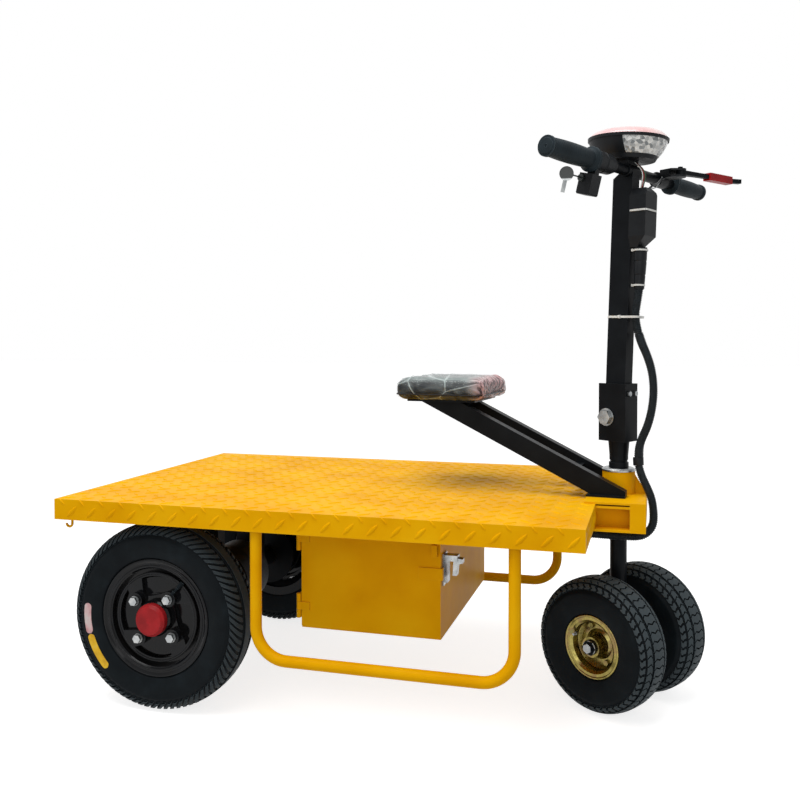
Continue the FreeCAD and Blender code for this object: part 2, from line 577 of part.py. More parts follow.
# ---------------------------------------------------------------- battery box
def make_box():
    """The battery box: a sheet case open on its right side, where the door closes it."""
    past = 1
    sheet_2 = "2 * Dims.box_sheet"
    case = block("case", (BOX_X, BOX_RIGHT, "Dims.box_low"), ("Dims.box_length", "Dims.box_width", BOX_HIGH))
    void = block("case_void", (f"{BOX_X} + Dims.box_sheet", f"{BOX_RIGHT} + Dims.box_sheet",
                               "Dims.box_low + Dims.box_sheet"),
                 (f"Dims.box_length - {sheet_2}", f"Dims.box_width - {sheet_2}", f"{BOX_HIGH} - {sheet_2}"))
    mouth = block("case_mouth", (f"{BOX_X} + Dims.box_lip", f"{BOX_RIGHT} - {past}",
                                 "Dims.box_low + Dims.box_lip"),
                  ("Dims.box_length - 2 * Dims.box_lip", f"Dims.box_sheet + {2 * past}",
                   f"{BOX_HIGH} - 2 * Dims.box_lip"))
    node(cut("box_shell", case, [void, mouth]), "box_shell")

    door_out = f"({BOX_RIGHT} - Dims.door_gap - Dims.box_sheet)"
    plate = block("door_plate", (BOX_X, door_out, "Dims.box_low + Dims.door_low"),
                  ("Dims.box_length", "Dims.box_sheet", f"{BOX_HIGH} - Dims.door_low - Dims.door_high"))
    axis_x = f"({BOX_X} - Dims.hinge_behind)"
    third = "(Dims.hinge_tall / 3)"
    leaf_gap = 0.5
    door_pieces, knuckles, spaces, pins = [plate], [], [], []
    for label, up in (("low", "Dims.hinge_low"), ("high", "Dims.hinge_high")):
        low = f"(Dims.box_low + {up})"
        pins.append(rod(f"pin_{label}", (axis_x, door_out, low), "Z", "Dims.hinge_pin", "Dims.hinge_tall"))
        for turn in (0, 2):
            knuckles.append(rod(f"knuckle_{label}_{turn}", (axis_x, door_out, f"{low} + {turn} * {third}"),
                                "Z", "Dims.hinge_knuckle", third))
        knuckles.append(block(f"leaf_{label}", (axis_x, f"{door_out} + Dims.hinge_pin", low),
                              ("Dims.hinge_behind", "Dims.strap_tall", "Dims.hinge_tall")))
        middle = f"({low} + {third})"
        spaces.append(rod(f"space_{label}", (axis_x, door_out, middle), "Z",
                          f"Dims.hinge_knuckle + {leaf_gap}", third))
        ring = rod(f"door_knuckle_{label}", (axis_x, door_out, f"{middle} + {leaf_gap}"), "Z",
                   "Dims.hinge_knuckle", f"{third} - {2 * leaf_gap}")
        leaf = block(f"door_leaf_{label}", (axis_x, f"{door_out} - Dims.strap_thick",
                                            f"{middle} + {leaf_gap}"),
                     ("4 * Dims.hinge_behind", "Dims.strap_thick", f"{third} - {2 * leaf_gap}"))
        hole = rod(f"door_hole_{label}", (axis_x, door_out, middle), "Z",
                   "Dims.hinge_pin + Dims.bearing_gap", third)
        door_pieces.append(cut(f"door_hinge_{label}", fuse(f"door_hinge_solid_{label}", [ring, leaf]), [hole]))
    barrels = cut("hinge_barrels", fuse("hinge_fixed", knuckles), spaces)
    node(fuse("box_hinges", [barrels] + pins), "box_hinges")

    strap_low = "(Dims.box_low + Dims.strap_low)"
    strap_y = f"({door_out} - Dims.strap_thick)"
    door_pieces.append(block("strap", (f"{BOX_FRONT} - Dims.strap_long", strap_y, strap_low),
                             ("Dims.strap_long + Dims.strap_over", "Dims.strap_thick", "Dims.strap_tall")))
    hook_x = f"({BOX_FRONT} + Dims.strap_over - Dims.strap_thick)"
    door_pieces.append(block("strap_hook", (hook_x, strap_y, strap_low),
                             ("Dims.strap_thick", "4 * Dims.strap_thick", "Dims.strap_tall")))
    staple_x = f"({BOX_FRONT} - Dims.staple_back)"
    staple_low = f"({strap_low} + 2 * Dims.strap_tall)"
    staple = block("staple", (staple_x, f"{door_out} - Dims.staple_out", staple_low),
                   ("Dims.staple_long", "Dims.staple_out", "Dims.strap_tall"))
    staple_eye = block("staple_eye", (f"{staple_x} - {past}", f"{door_out} + Dims.staple_bar - Dims.staple_out",
                                      f"{staple_low} + Dims.staple_bar"),
                       (f"Dims.staple_long + {2 * past}", "Dims.staple_out - Dims.staple_bar",
                        "Dims.strap_tall - 2 * Dims.staple_bar"))
    door_pieces.append(cut("door_staple", staple, [staple_eye]))
    node(fuse("box_door", door_pieces), "box_door")

    latch_y = f"({BOX_RIGHT} + Dims.latch_in)"
    latch_low = f"({strap_low} + Dims.strap_tall / 2 + 5 - Dims.latch_tall / 2)"
    loop_y = f"({latch_y} + (Dims.latch_wide - Dims.latch_loop) / 2)"
    bend_x = f"({BOX_FRONT} + Dims.latch_plate)"
    base = block("latch_base", (BOX_FRONT, latch_y, latch_low),
                 ("Dims.latch_plate", "Dims.latch_wide", "Dims.latch_tall"))
    heel = block("latch_heel", (bend_x, loop_y, f"{latch_low} + Dims.latch_bar / 2"),
                 ("Dims.latch_bar * 0.6", "Dims.latch_loop", "Dims.latch_tall - Dims.latch_bar"))
    top = block("latch_top", (bend_x, loop_y, f"{latch_low} + Dims.latch_tall - Dims.latch_bar - 3"),
                ("Dims.latch_deep - 13", "Dims.latch_loop", "Dims.latch_bar"))
    lever = padded("latch_lever", "XZ_Plane",
                   [("Dims.latch_deep - 20", 5), ("Dims.latch_deep - 12", 5), ("Dims.latch_deep - 9", 28),
                    ("Dims.latch_deep", 30), ("Dims.latch_deep", 38), ("Dims.latch_deep - 18", 40)],
                   "Dims.latch_loop * 0.8")
    put(lever, (BOX_FRONT, f"{loop_y} + Dims.latch_loop * 0.9", strap_low))
    node(fuse("box_latch", [base, heel, top, lever]), "box_latch")

    pack = block("pack", (f"{BOX_X} + Dims.pack_margin", f"{BOX_RIGHT} + 3 * Dims.pack_margin",
                          "Dims.box_low + Dims.box_sheet"),
                 ("Dims.box_length - 2 * Dims.pack_margin", "Dims.box_width - 4 * Dims.pack_margin",
                  "Dims.pack_height"))
    node(pack, "battery_pack")


# ---------------------------------------------------------------- seat
def make_seat():
    """Two slanting tubes from the nose straddle the steering head and carry the seat."""
    slope = "tan(Dims.arm_slope)"
    deep = "(Dims.arm_depth / cos(Dims.arm_slope))"
    foot_top = f"({NOSE_TOP} + Dims.foot_plate)"
    arm_end, heel = "Dims.arm_end", "(-Dims.arm_heel)"
    pan_low = "(Dims.seat_top - Dims.seat_thick - Dims.seat_pan)"
    under_x = f"({heel} - ({pan_low} - {foot_top}) / {slope})"
    over_x = f"({under_x} + {deep} / {slope})"
    end_top = f"({foot_top} + {deep} - ({arm_end} - {heel}) * {slope})"
    arms = []
    for side in (-1, 1):
        body = padded(f"arm_{side}", "XZ_Plane",
                      [(heel, foot_top), (arm_end, foot_top), (arm_end, end_top),
                       (over_x, pan_low), (under_x, pan_low)], "Dims.arm_width", both=True)
        put(body, (0, f"{side} * (Dims.arm_inner + Dims.arm_width / 2)", 0))
        arms.append(body)
        foot_y = "Dims.arm_inner" if side > 0 else "-(Dims.arm_inner + Dims.arm_width + Dims.foot_over)"
        arms.append(block(f"foot_{side}", (f"{heel} - Dims.foot_over", foot_y, NOSE_TOP),
                          (f"{arm_end} - {heel} + Dims.foot_over", "Dims.arm_width + Dims.foot_over",
                           "Dims.foot_plate")))
    for count, share in enumerate((0.18, 0.86)):
        middle = f"({under_x} + ({heel} - {under_x}) * {share})"
        height = f"({pan_low} - ({middle} - {under_x}) * {slope})"
        arms.append(block(f"arm_tie_{count}", (f"{middle} + Dims.foot_plate", "-Dims.arm_inner",
                                               f"{height} + Dims.foot_plate"),
                          ("Dims.arm_depth / 2", "2 * Dims.arm_inner", "Dims.arm_depth / 2")))
    node(fuse("seat_arms", arms), "seat_arms", SEAT_FRAME)
    seat_x = "(-Dims.seat_rear)"
    half_x, half_y = "(Dims.seat_length / 2 - Dims.pan_edge)", "(Dims.seat_width / 2 - Dims.pan_edge)"
    pan = padded("pan", "XY_Plane", [(f"-{half_x}", f"-{half_y}"), (half_x, f"-{half_y}"), (half_x, half_y),
                                     (f"-{half_x}", half_y)], "Dims.seat_pan")
    node(pan, "seat_pan", SEAT_FRAME, (f"{seat_x} + Dims.seat_length / 2", 0, pan_low))
    cushion = doc.addObject("PartDesign::Body", "cushion")
    half_l, half_w = "Dims.seat_length / 2", "Dims.seat_width / 2"
    base = outline(cushion, "cushion_outline", "XY_Plane",
                   [(f"-{half_l}", f"-{half_w}"), (half_l, f"-{half_w}"), (half_l, half_w),
                    (f"-{half_l}", half_w)])
    pad = cushion.newObject("PartDesign::Pad", "cushion_pad")
    pad.Profile = base
    bind(pad, Length="Dims.seat_thick")
    doc.recompute()
    upright = [f"Edge{number}" for number, edge in enumerate(pad.Shape.Edges, start=1)
               if abs(edge.tangentAt(edge.FirstParameter).z) > 0.9]
    corners = cushion.newObject("PartDesign::Fillet", "cushion_corners")
    corners.Base = (pad, upright)
    bind(corners, Radius="Dims.seat_corner")
    doc.recompute()
    rims = [f"Edge{number}" for number, edge in enumerate(corners.Shape.Edges, start=1)
            if edge.BoundBox.ZLength < 0.01]
    rounds = cushion.newObject("PartDesign::Fillet", "cushion_rounds")
    rounds.Base = (corners, rims)
    bind(rounds, Radius="Dims.seat_round")
    node(cushion, "seat_cushion", SEAT_FRAME, (f"{seat_x} + {half_l}", 0, "Dims.seat_top - Dims.seat_thick"))


# ---------------------------------------------------------------- wheels
WHEEL_BOLTS = 4
BOLT_TURN = 51  # angle of the first wheel bolt above the forward direction
WINDOW_TURN = 83  # angle of the first window's middle, likewise


def tyre(label, radius, width, bead, flange, frame):
    """A tyre as a hollow carcass: beads against the rim's flanges, bulging sides, round crown."""
    half = f"({width} / 2)"
    wall = "Dims.tyre_wall"
    lip = f"({half} * Dims.bead_share)"
    mid = f"(({radius} + {flange}) / 2)"
    crown = f"({radius} - {half} * 0.16)"
    outer = [
        (bead, f"-{lip}"), (flange, f"-{lip}", mid, f"-{half}"), (crown, f"-{half} * 0.80", radius, 0),
        (crown, f"{half} * 0.80", mid, half), (flange, lip), (bead, lip),
    ]
    inner = [
        (bead, f"{lip} - {wall} - 3"), (flange, f"{lip} - {wall}", mid, f"{half} - {wall}"),
        (f"{crown} - {wall}", f"{half} * 0.74 - {wall} / 2", f"{radius} - {wall} - 2", 0),
        (f"{crown} - {wall}", f"-{half} * 0.74 + {wall} / 2", mid, f"{wall} - {half}"),
        (flange, f"{wall} - {lip}"), (bead, f"{wall} - {lip} + 3"),
    ]
    node(turned(label, outer + inner), label, frame)


def wheel_frame(side, centre, base=None):
    """The frame of a wheel whose outer face looks along its own -Y."""
    turn = 0 if side < 0 else 180
    spot = at_point(centre, turn)
    return spot if base is None else f"{base} * {spot}"


def around(radius, angle):
    """Two coordinates of a point on a circle, as expressions of the sheet."""
    return f"({radius}) * cos({angle})", f"({radius}) * sin({angle})"


def wheel_disc(label):
    """A rear rim: stepped flange, deep well and a disc with four skewed windows."""
    lip = "(Dims.rear_width / 2 * Dims.bead_share)"
    bead, flange, wall, well = "Dims.rear_bead", "Dims.rear_flange", "Dims.rim_wall", "Dims.rear_well"
    seat = f"({bead} - {wall})"
    face, thick = "Dims.spider_out", "Dims.spider_thick"
    rim = turned(label, [
        (bead, f"-{lip}"), (flange, f"-{lip}"),
        (flange, f"-{lip} - 2", f"{flange} - 1.6", f"-{lip} - 4.2"), (f"{flange} - 6", f"-{lip} - 3.5"),
        (f"{flange} - 9", f"-{lip} - 2"),
        (f"{bead} + 5", f"-{lip} - 2", f"{bead} + 2.5", f"-{lip} - 4"), (f"{bead} - 1", f"-{lip} - 2"),
        (seat, f"-{lip}"), (seat, f"14 - {lip}"), (f"{well} + 2", f"14 - {lip}"),
        (f"{well} + 2", f"-{face}", well, f"-{face} - 1.5"), (f"{well} - 3", f"-{face}"),
        ("Dims.disc_bore", f"-{face}"), ("Dims.disc_bore", f"{thick} - {face}"),
        (f"{well} - 4", f"{thick} - {face}"), (f"{well} - 4", f"{lip} - 18"), (seat, f"{lip} - 10"),
        (seat, f"{lip} + {wall}"), (flange, f"{lip} + {wall}"), (flange, lip), (bead, lip),
        (bead, f"{lip} - 12"), (well, f"{lip} - 20"), (well, f"20 - {lip}"), (bead, f"17 - {lip}")])
    inner, outer = "(Dims.disc_bore + 12)", f"({well} - 6)"
    centre = WINDOW_TURN
    corners = [around(f"{inner} + 7", centre + 44), around(outer, centre + 31) + around(outer, centre),
               around(outer, centre - 31), around(f"{outer} - 8", centre - 27)
               + around(f"{inner} + 1", centre + 12)]
    window = outline(rim, label + "_window", "XZ_Plane", corners)
    pocket = rim.newObject("PartDesign::Pocket", label + "_pocket")
    pocket.Profile = window
    pocket.Midplane = True
    bind(pocket, Length=f"2 * {face} + {thick}")
    doc.recompute()
    ring = rim.newObject("PartDesign::PolarPattern", label + "_windows")
    ring.Originals = [pocket]
    ring.Axis = (window, ["N_Axis"])
    ring.Angle = 360
    ring.Occurrences = WHEEL_BOLTS
    rim.Tip = ring
    return rim


def make_rear_wheels():
    """Cast wheels on hubs with brake drums, each with four bolts and a round cap."""
    face, out = "Dims.spider_out", "Dims.hub_out"
    for label, side in (("right", -1), ("left", 1)):
        frame = wheel_frame(side, (REAR_AXLE_X, f"{side} * Dims.rear_track / 2", "Dims.rear_radius"))
        tyre(f"rear_tyre_{label}", "Dims.rear_radius", "Dims.rear_width", "Dims.rear_bead",
             "Dims.rear_flange", frame)
        bosses, nuts = [], []
        for quarter in range(WHEEL_BOLTS):
            across, up = around("Dims.bolt_circle", BOLT_TURN + 360 / WHEEL_BOLTS * quarter)
            boss_end = f"(-{face} - Dims.boss_tall)"
            bosses.append(rod(f"boss_{label}_{quarter}", (across, boss_end, up), "Y", "Dims.boss_radius",
                              "Dims.boss_tall + Dims.spider_thick"))
            nuts.append(rod(f"nut_washer_{label}_{quarter}", (across, f"{boss_end} - 2", up), "Y",
                            "Dims.nut_flat + 2", 2))
            nut = hexagon(f"nut_{label}_{quarter}", (across, f"{boss_end} - 9", up), "Y", "Dims.nut_flat", 7)
            nuts.append(nut)
        rim = fuse(f"rim_whole_{label}", [wheel_disc(f"rim_body_{label}")] + bosses)
        node(rim, f"rear_rim_{label}", frame)
        node(fuse(f"nut_set_{label}", nuts), f"wheel_nuts_{label}", frame)
        drum = "(Dims.rear_track / 2 - Dims.axle_half)"
        hub = turned(f"hub_core_{label}", [
            (0, f"-{out}"), ("Dims.cap_radius + 1", f"-{out}"), ("Dims.cap_radius + 4", f"4 - {out}"),
            ("Dims.cap_radius + 4", f"-{face}"), ("Dims.disc_bore", f"-{face}"),
            ("Dims.disc_bore", f"Dims.spider_thick - {face}"), ("Dims.hub_radius", f"Dims.spider_thick - {face}"),
            ("Dims.hub_radius", 14), ("Dims.drum_radius", 22), ("Dims.drum_radius", f"{drum} - 1"), (0, f"{drum} - 1")])
        bore = rod(f"hub_bore_{label}", (0, f"6 - {out}", 0), "Y", "Dims.half_shaft + Dims.bearing_gap",
                   f"{drum} + {out}")
        node(cut(f"hub_{label}", hub, [bore]), f"rear_hub_{label}", frame)
        cap = turned(f"cap_{label}", [
            (0, f"-{out}"), ("Dims.cap_radius", f"-{out}"), ("Dims.cap_radius", f"8 - {out} - Dims.cap_height"),
            ("Dims.cap_radius - 5", f"1 - {out} - Dims.cap_height"), (0, f"-{out} - Dims.cap_height")])
        node(cap, f"hub_cap_{label}", frame)


def make_front_wheels():
    """Two-piece pressed rims, bolted back to back, on ball bearing hubs either side of the stem."""
    lip = "(Dims.front_width / 2 * Dims.bead_share)"
    bead, flange, wall = "Dims.front_bead", "Dims.front_flange", "Dims.rim_wall"
    seat = f"({bead} - {wall})"
    shaft = "(Dims.axle_radius + Dims.bearing_gap)"
    roll = 2.5
    for label, side in (("right", -1), ("left", 1)):
        frame = wheel_frame(side, ("Dims.front_axle_ahead", f"{side} * Dims.front_track / 2",
                                   "Dims.front_radius"), STEER_FRAME)
        tyre(f"front_tyre_{label}", "Dims.front_radius", "Dims.front_width", "Dims.front_bead",
             "Dims.front_flange", frame)
        rim = turned(f"front_disc_{label}", [
            (bead, f"-{lip}"), (flange, f"-{lip}", f"{flange} - 1", f"-{lip} - {roll} - 1.5"),
            (f"{flange} - {roll} * 2", f"-{lip} - {roll}"), (f"{bead} + 2", f"-{lip} - {roll}"),
            (seat, f"-{lip} + 2"), (seat, "-12"), (f"{seat} - 6", "-6"), (30, "-6"), (24, "-10"),
            (20, "-16"), (20, "-Dims.front_hub_out"), (shaft, "-Dims.front_hub_out"),
            (shaft, "Dims.front_hub_in"), (20, "Dims.front_hub_in"), (20, "16"), (24, "10"), (30, "6"),
            (f"{seat} - 6", "6"), (seat, "12"), (seat, f"{lip} + {wall}"), (flange, f"{lip} + {wall}"),
            (flange, lip), (bead, lip)])
        bolts = []
        for quarter in range(WHEEL_BOLTS):
            across, up = around("Dims.rim_bolts", 28 + 360 / WHEEL_BOLTS * quarter)
            bolts.append(hexagon(f"rim_bolt_{label}_{quarter}", (across, -11, up), "Y", 5, 22))
        node(fuse(f"front_rim_whole_{label}", [rim] + bolts), f"front_rim_{label}", frame)


# ---------------------------------------------------------------- rear axle
def make_rear_axle():
    """The drive axle: motor in the middle, axle tubes, brake plates and posts to the channels."""
    inner = "Dims.axle_half"
    height = "Dims.rear_radius"
    tube = rod("axle_tube", (REAR_AXLE_X, f"-{inner}", height), "Y", "Dims.axle_tube", f"2 * {inner}")
    reach = "(Dims.rear_track / 2 + Dims.hub_out - 8)"
    shaft = rod("half_shafts", (REAR_AXLE_X, f"-{reach}", height), "Y", "Dims.half_shaft", f"2 * {reach}")
    pieces = [tube, shaft]
    plate = 10
    bolt_ahead = 30
    for side in (-1, 1):
        start = f"{side} * ({inner} - {plate / 2}) - {plate / 2}"
        pieces.append(rod(f"brake_plate_{side}", (REAR_AXLE_X, start, height), "Y",
                          "Dims.drum_radius + 4", plate))
        middle = f"{side} * (Dims.rail_out - Dims.rail_flange / 2)"
        pieces.append(block(f"post_{side}", (f"{REAR_AXLE_X} - {bolt_ahead}", f"{middle} - 15", height),
                            (2 * bolt_ahead, 30, f"{RAIL_UNDER} - {height}")))
        saddle_low = f"({height} - Dims.axle_tube - 9)"
        pieces.append(block(f"saddle_{side}",
                            (f"{REAR_AXLE_X} - {bolt_ahead} - 8", f"{middle} - 17", saddle_low),
                            (2 * bolt_ahead + 16, 34, 12)))
        for end in (-1, 1):
            pieces.append(rod(f"saddle_bolt_{side}_{end}", (f"{REAR_AXLE_X} + {end * bolt_ahead}", middle,
                                                            f"{saddle_low} - 7"), "Z", 5, 44))
    pieces.append(rod("gear_case", (REAR_AXLE_X, "-Dims.motor_start - 46", height), "Y",
                      "Dims.motor_radius + 6", 46))
    node(fuse("rear_axle", pieces), "rear_axle")
    end = "(Dims.motor_long - Dims.motor_start)"
    motor = turned("motor", [(0, "-Dims.motor_start"), ("Dims.motor_radius - 6", "-Dims.motor_start"),
                             ("Dims.motor_radius", "8 - Dims.motor_start"),
                             ("Dims.motor_radius", f"{end} - 16"),
                             ("Dims.motor_radius - 8", f"{end} - 6"), ("Dims.axle_tube + 6", end), (0, end)])
    hole = rod("motor_bore", (0, "-Dims.motor_start - 8", 0), "Y", "Dims.axle_tube", "Dims.motor_long + 16")
    node(cut("motor_body", motor, [hole]), "drive_motor", None, (REAR_AXLE_X, 0, height))


# ---------------------------------------------------------------- steering
def make_steering():
    """Stem, front axle and the forked bracket in which the column folds."""
    past = 1
    axle_z = "Dims.front_radius"
    cap_top = "(Dims.head_top + Dims.head_cap)"
    stem_r = "Dims.stem_outer"
    stem = turned("stem", [
        (0, axle_z), (stem_r, axle_z), (stem_r, f"{cap_top} + Dims.collar_gap"),
        (f"{stem_r} + 3", f"{cap_top} + Dims.collar_gap"), (f"{stem_r} + 3", f"{cap_top} + 11"),
        (f"{stem_r} + 0.5", f"{cap_top} + 12"), (f"{stem_r} + 0.5", f"{cap_top} + 15"),
        (f"{stem_r} + 2", f"{cap_top} + 16"), (f"{stem_r} + 2", f"{FORK_LOW} - 30"),
        (f"{stem_r} + 4.5", f"{FORK_LOW}"), (0, FORK_LOW)], "XZ_Plane")
    hub_gap = "(Dims.front_track / 2 - Dims.front_hub_in - 1)"
    ahead = "Dims.front_axle_ahead"
    sleeve = rod("axle_sleeve", (ahead, f"-{hub_gap}", axle_z), "Y", stem_r, f"2 * {hub_gap}")
    reach = "(Dims.front_track / 2 + Dims.front_hub_out + 10)"
    spindle = rod("spindle", (ahead, f"-{reach}", axle_z), "Y", "Dims.axle_radius", f"2 * {reach}")
    shaft = [stem, sleeve, spindle]
    nut_tall = 7
    for side in (-1, 1):
        near = "(Dims.front_track / 2 + Dims.front_hub_out + 0.5)"
        start = near if side > 0 else f"-{near} - {nut_tall}"
        shaft.append(hexagon(f"spindle_nut_{side}", (ahead, start, axle_z), "Y", 13, nut_tall))
    node(fuse("stem_whole", shaft), "steering_stem", STEER_FRAME)

    floor = block("fork_floor", (FORK_REAR, f"-{FORK_HALF}", FORK_LOW),
                  ("Dims.fork_deep", "Dims.fork_wide", "Dims.fork_base"))
    pieces = [floor]
    for side in (-1, 1):
        corner = f"-{FORK_HALF}" if side < 0 else f"{FORK_HALF} - Dims.fork_wall"
        pieces.append(block(f"cheek_{side}", (FORK_REAR, corner, FORK_LOW),
                            ("Dims.fork_deep", "Dims.fork_wall", FORK_HIGH)))
    pieces.append(block("fork_front", (f"{FORK_FRONT} - Dims.fork_front", f"-{FORK_HALF}", FORK_LOW),
                        ("Dims.fork_front", "Dims.fork_wide", FORK_HIGH)))
    pivot = ("-Dims.pivot_back", f"-{FORK_HALF} - {past}", "Dims.pivot_height")
    hole = rod("pivot_hole", pivot, "Y", "Dims.pivot_radius", f"Dims.fork_wide + {2 * past}")
    node(cut("fork_body", fuse("fork_solid", pieces), [hole]), "fold_bracket", STEER_FRAME)

    washer_thick, head_tall = 3, 9
    side_reach = f"({FORK_HALF} + {washer_thick} + {head_tall})"
    bolt = rod("bolt_shank", ("-Dims.pivot_back", f"-{side_reach}", "Dims.pivot_height"), "Y",
               "Dims.pivot_radius", f"2 * {side_reach}")
    fasteners = [bolt]
    for side in (-1, 1):
        washer = FORK_HALF if side > 0 else f"-{FORK_HALF} - {washer_thick}"
        head = f"{FORK_HALF} + {washer_thick}" if side > 0 else f"-{side_reach}"
        fasteners.append(rod(f"pivot_washer_{side}", ("-Dims.pivot_back", washer, "Dims.pivot_height"),
                             "Y", "Dims.pivot_washer", washer_thick))
        fasteners.append(hexagon(f"pivot_head_{side}", ("-Dims.pivot_back", head, "Dims.pivot_height"),
                                 "Y", "Dims.pivot_washer - 5", head_tall))
        fasteners.append(hexagon(f"lock_bolt_{side}", (FORK_FRONT, f"{side} * Dims.fork_wide / 4",
                                                       "Dims.pivot_height + Dims.fork_above - 20"),
                                 "X", 5, 5))
    node(fuse("pivot_set", fasteners), "pivot_bolts", STEER_FRAME)


# ---------------------------------------------------------------- column
def on_mast(thing, place):
    """Place a piece of the column node in the mast's leaned frame."""
    thing.setExpression("Placement", f"{MAST_TURN} * {at_point(place)}")
    return thing


def make_column():
    """The folding column: a foot block that turns on the pivot bolt, and a leaned tube."""
    rear = "(Dims.column_ahead - Dims.column_deep / 2)"
    front = "(Dims.column_ahead + Dims.column_deep / 2)"
    foot_wide = "(Dims.fork_wide - 2 * Dims.fork_wall - 2 * Dims.fork_gap)"
    knee = "(Dims.pivot_radius + 8)"
    foot = padded("column_foot", "XZ_Plane",
                  [(0, f"-{knee}"), (f"{front} - 13", f"-{knee} - 10"), (f"{front} - 1", "-5"),
                   (f"{front} - 1", "Dims.column_start"), (rear, "Dims.column_start"), (rear, knee),
                   (0, knee, f"-{knee}", 0)], foot_wide, both=True)
    wall_face = f"(Dims.pivot_back + {FORK_FRONT} - Dims.fork_front)"
    stop_gap = 1.2
    stop = block("column_stop", (f"{front} - 6", f"-{foot_wide} / 2", "Dims.column_start"),
                 (f"{wall_face} - {front} + 6 - {stop_gap}", foot_wide, "Dims.column_start / 2"))
    wide, deep = "Dims.column_wide", "Dims.column_deep"
    tube = block("column_tube_full", (0, 0, 0), (deep, wide, "Dims.column_top - Dims.column_start + 4"))
    on_mast(tube, (rear, f"-{wide} / 2", "Dims.column_start - 4"))
    hollow = block("column_tube_void", (0, 0, 0),
                   (f"{deep} - 2 * Dims.column_wall", f"{wide} - 2 * Dims.column_wall",
                    "Dims.column_top - 1.5 * Dims.column_start"))
    on_mast(hollow, (f"{rear} + Dims.column_wall", f"Dims.column_wall - {wide} / 2", "1.4 * Dims.column_start"))
    bore = rod("column_bore", (0, f"-{FORK_HALF}", 0), "Y", "Dims.pivot_radius + Dims.bearing_gap",
               "Dims.fork_wide")
    node(cut("column_body", fuse("column_solid", [foot, stop, tube]), [hollow, bore]), "column", COLUMN_FRAME)
    make_handlebar()
    make_throttle()
    make_brake()
    make_lamp()
    make_cover()


BAR = ("Dims.bar_ahead", "Dims.bar_up")
SADDLE_HALF = "(Dims.column_wide / 2 + 10)"


def bar_rod(name, start, radius, length):
    """A round piece about the handlebar's axis, from a place along it."""
    return rod(name, (BAR[0], start, BAR[1]), "Y", radius, length)


def make_handlebar():
    """The straight tube, welded into a half-round saddle on the column's top."""
    tube = bar_rod("bar", "-Dims.bar_half", "Dims.bar_radius", "2 * Dims.bar_half")
    sleeve = bar_rod("saddle_sleeve", f"-{SADDLE_HALF}", "Dims.bar_radius + Dims.column_wall",
                     f"2 * {SADDLE_HALF}")
    low = "Dims.column_top"
    gusset = padded("saddle_gusset", "XZ_Plane",
                    [("Dims.column_ahead - Dims.column_deep / 2", low),
                     ("Dims.column_ahead + Dims.column_deep / 2", low),
                     (f"{BAR[0]} + Dims.bar_radius + 3", BAR[1], BAR[0], f"{BAR[1]} + Dims.bar_radius + 3"),
                     (f"{BAR[0]} - Dims.bar_radius - 3", BAR[1])],
                    "Dims.column_wide", both=True)
    node(fuse("handlebar_whole", [tube, sleeve, gusset]), "handlebar", MAST_FRAME)


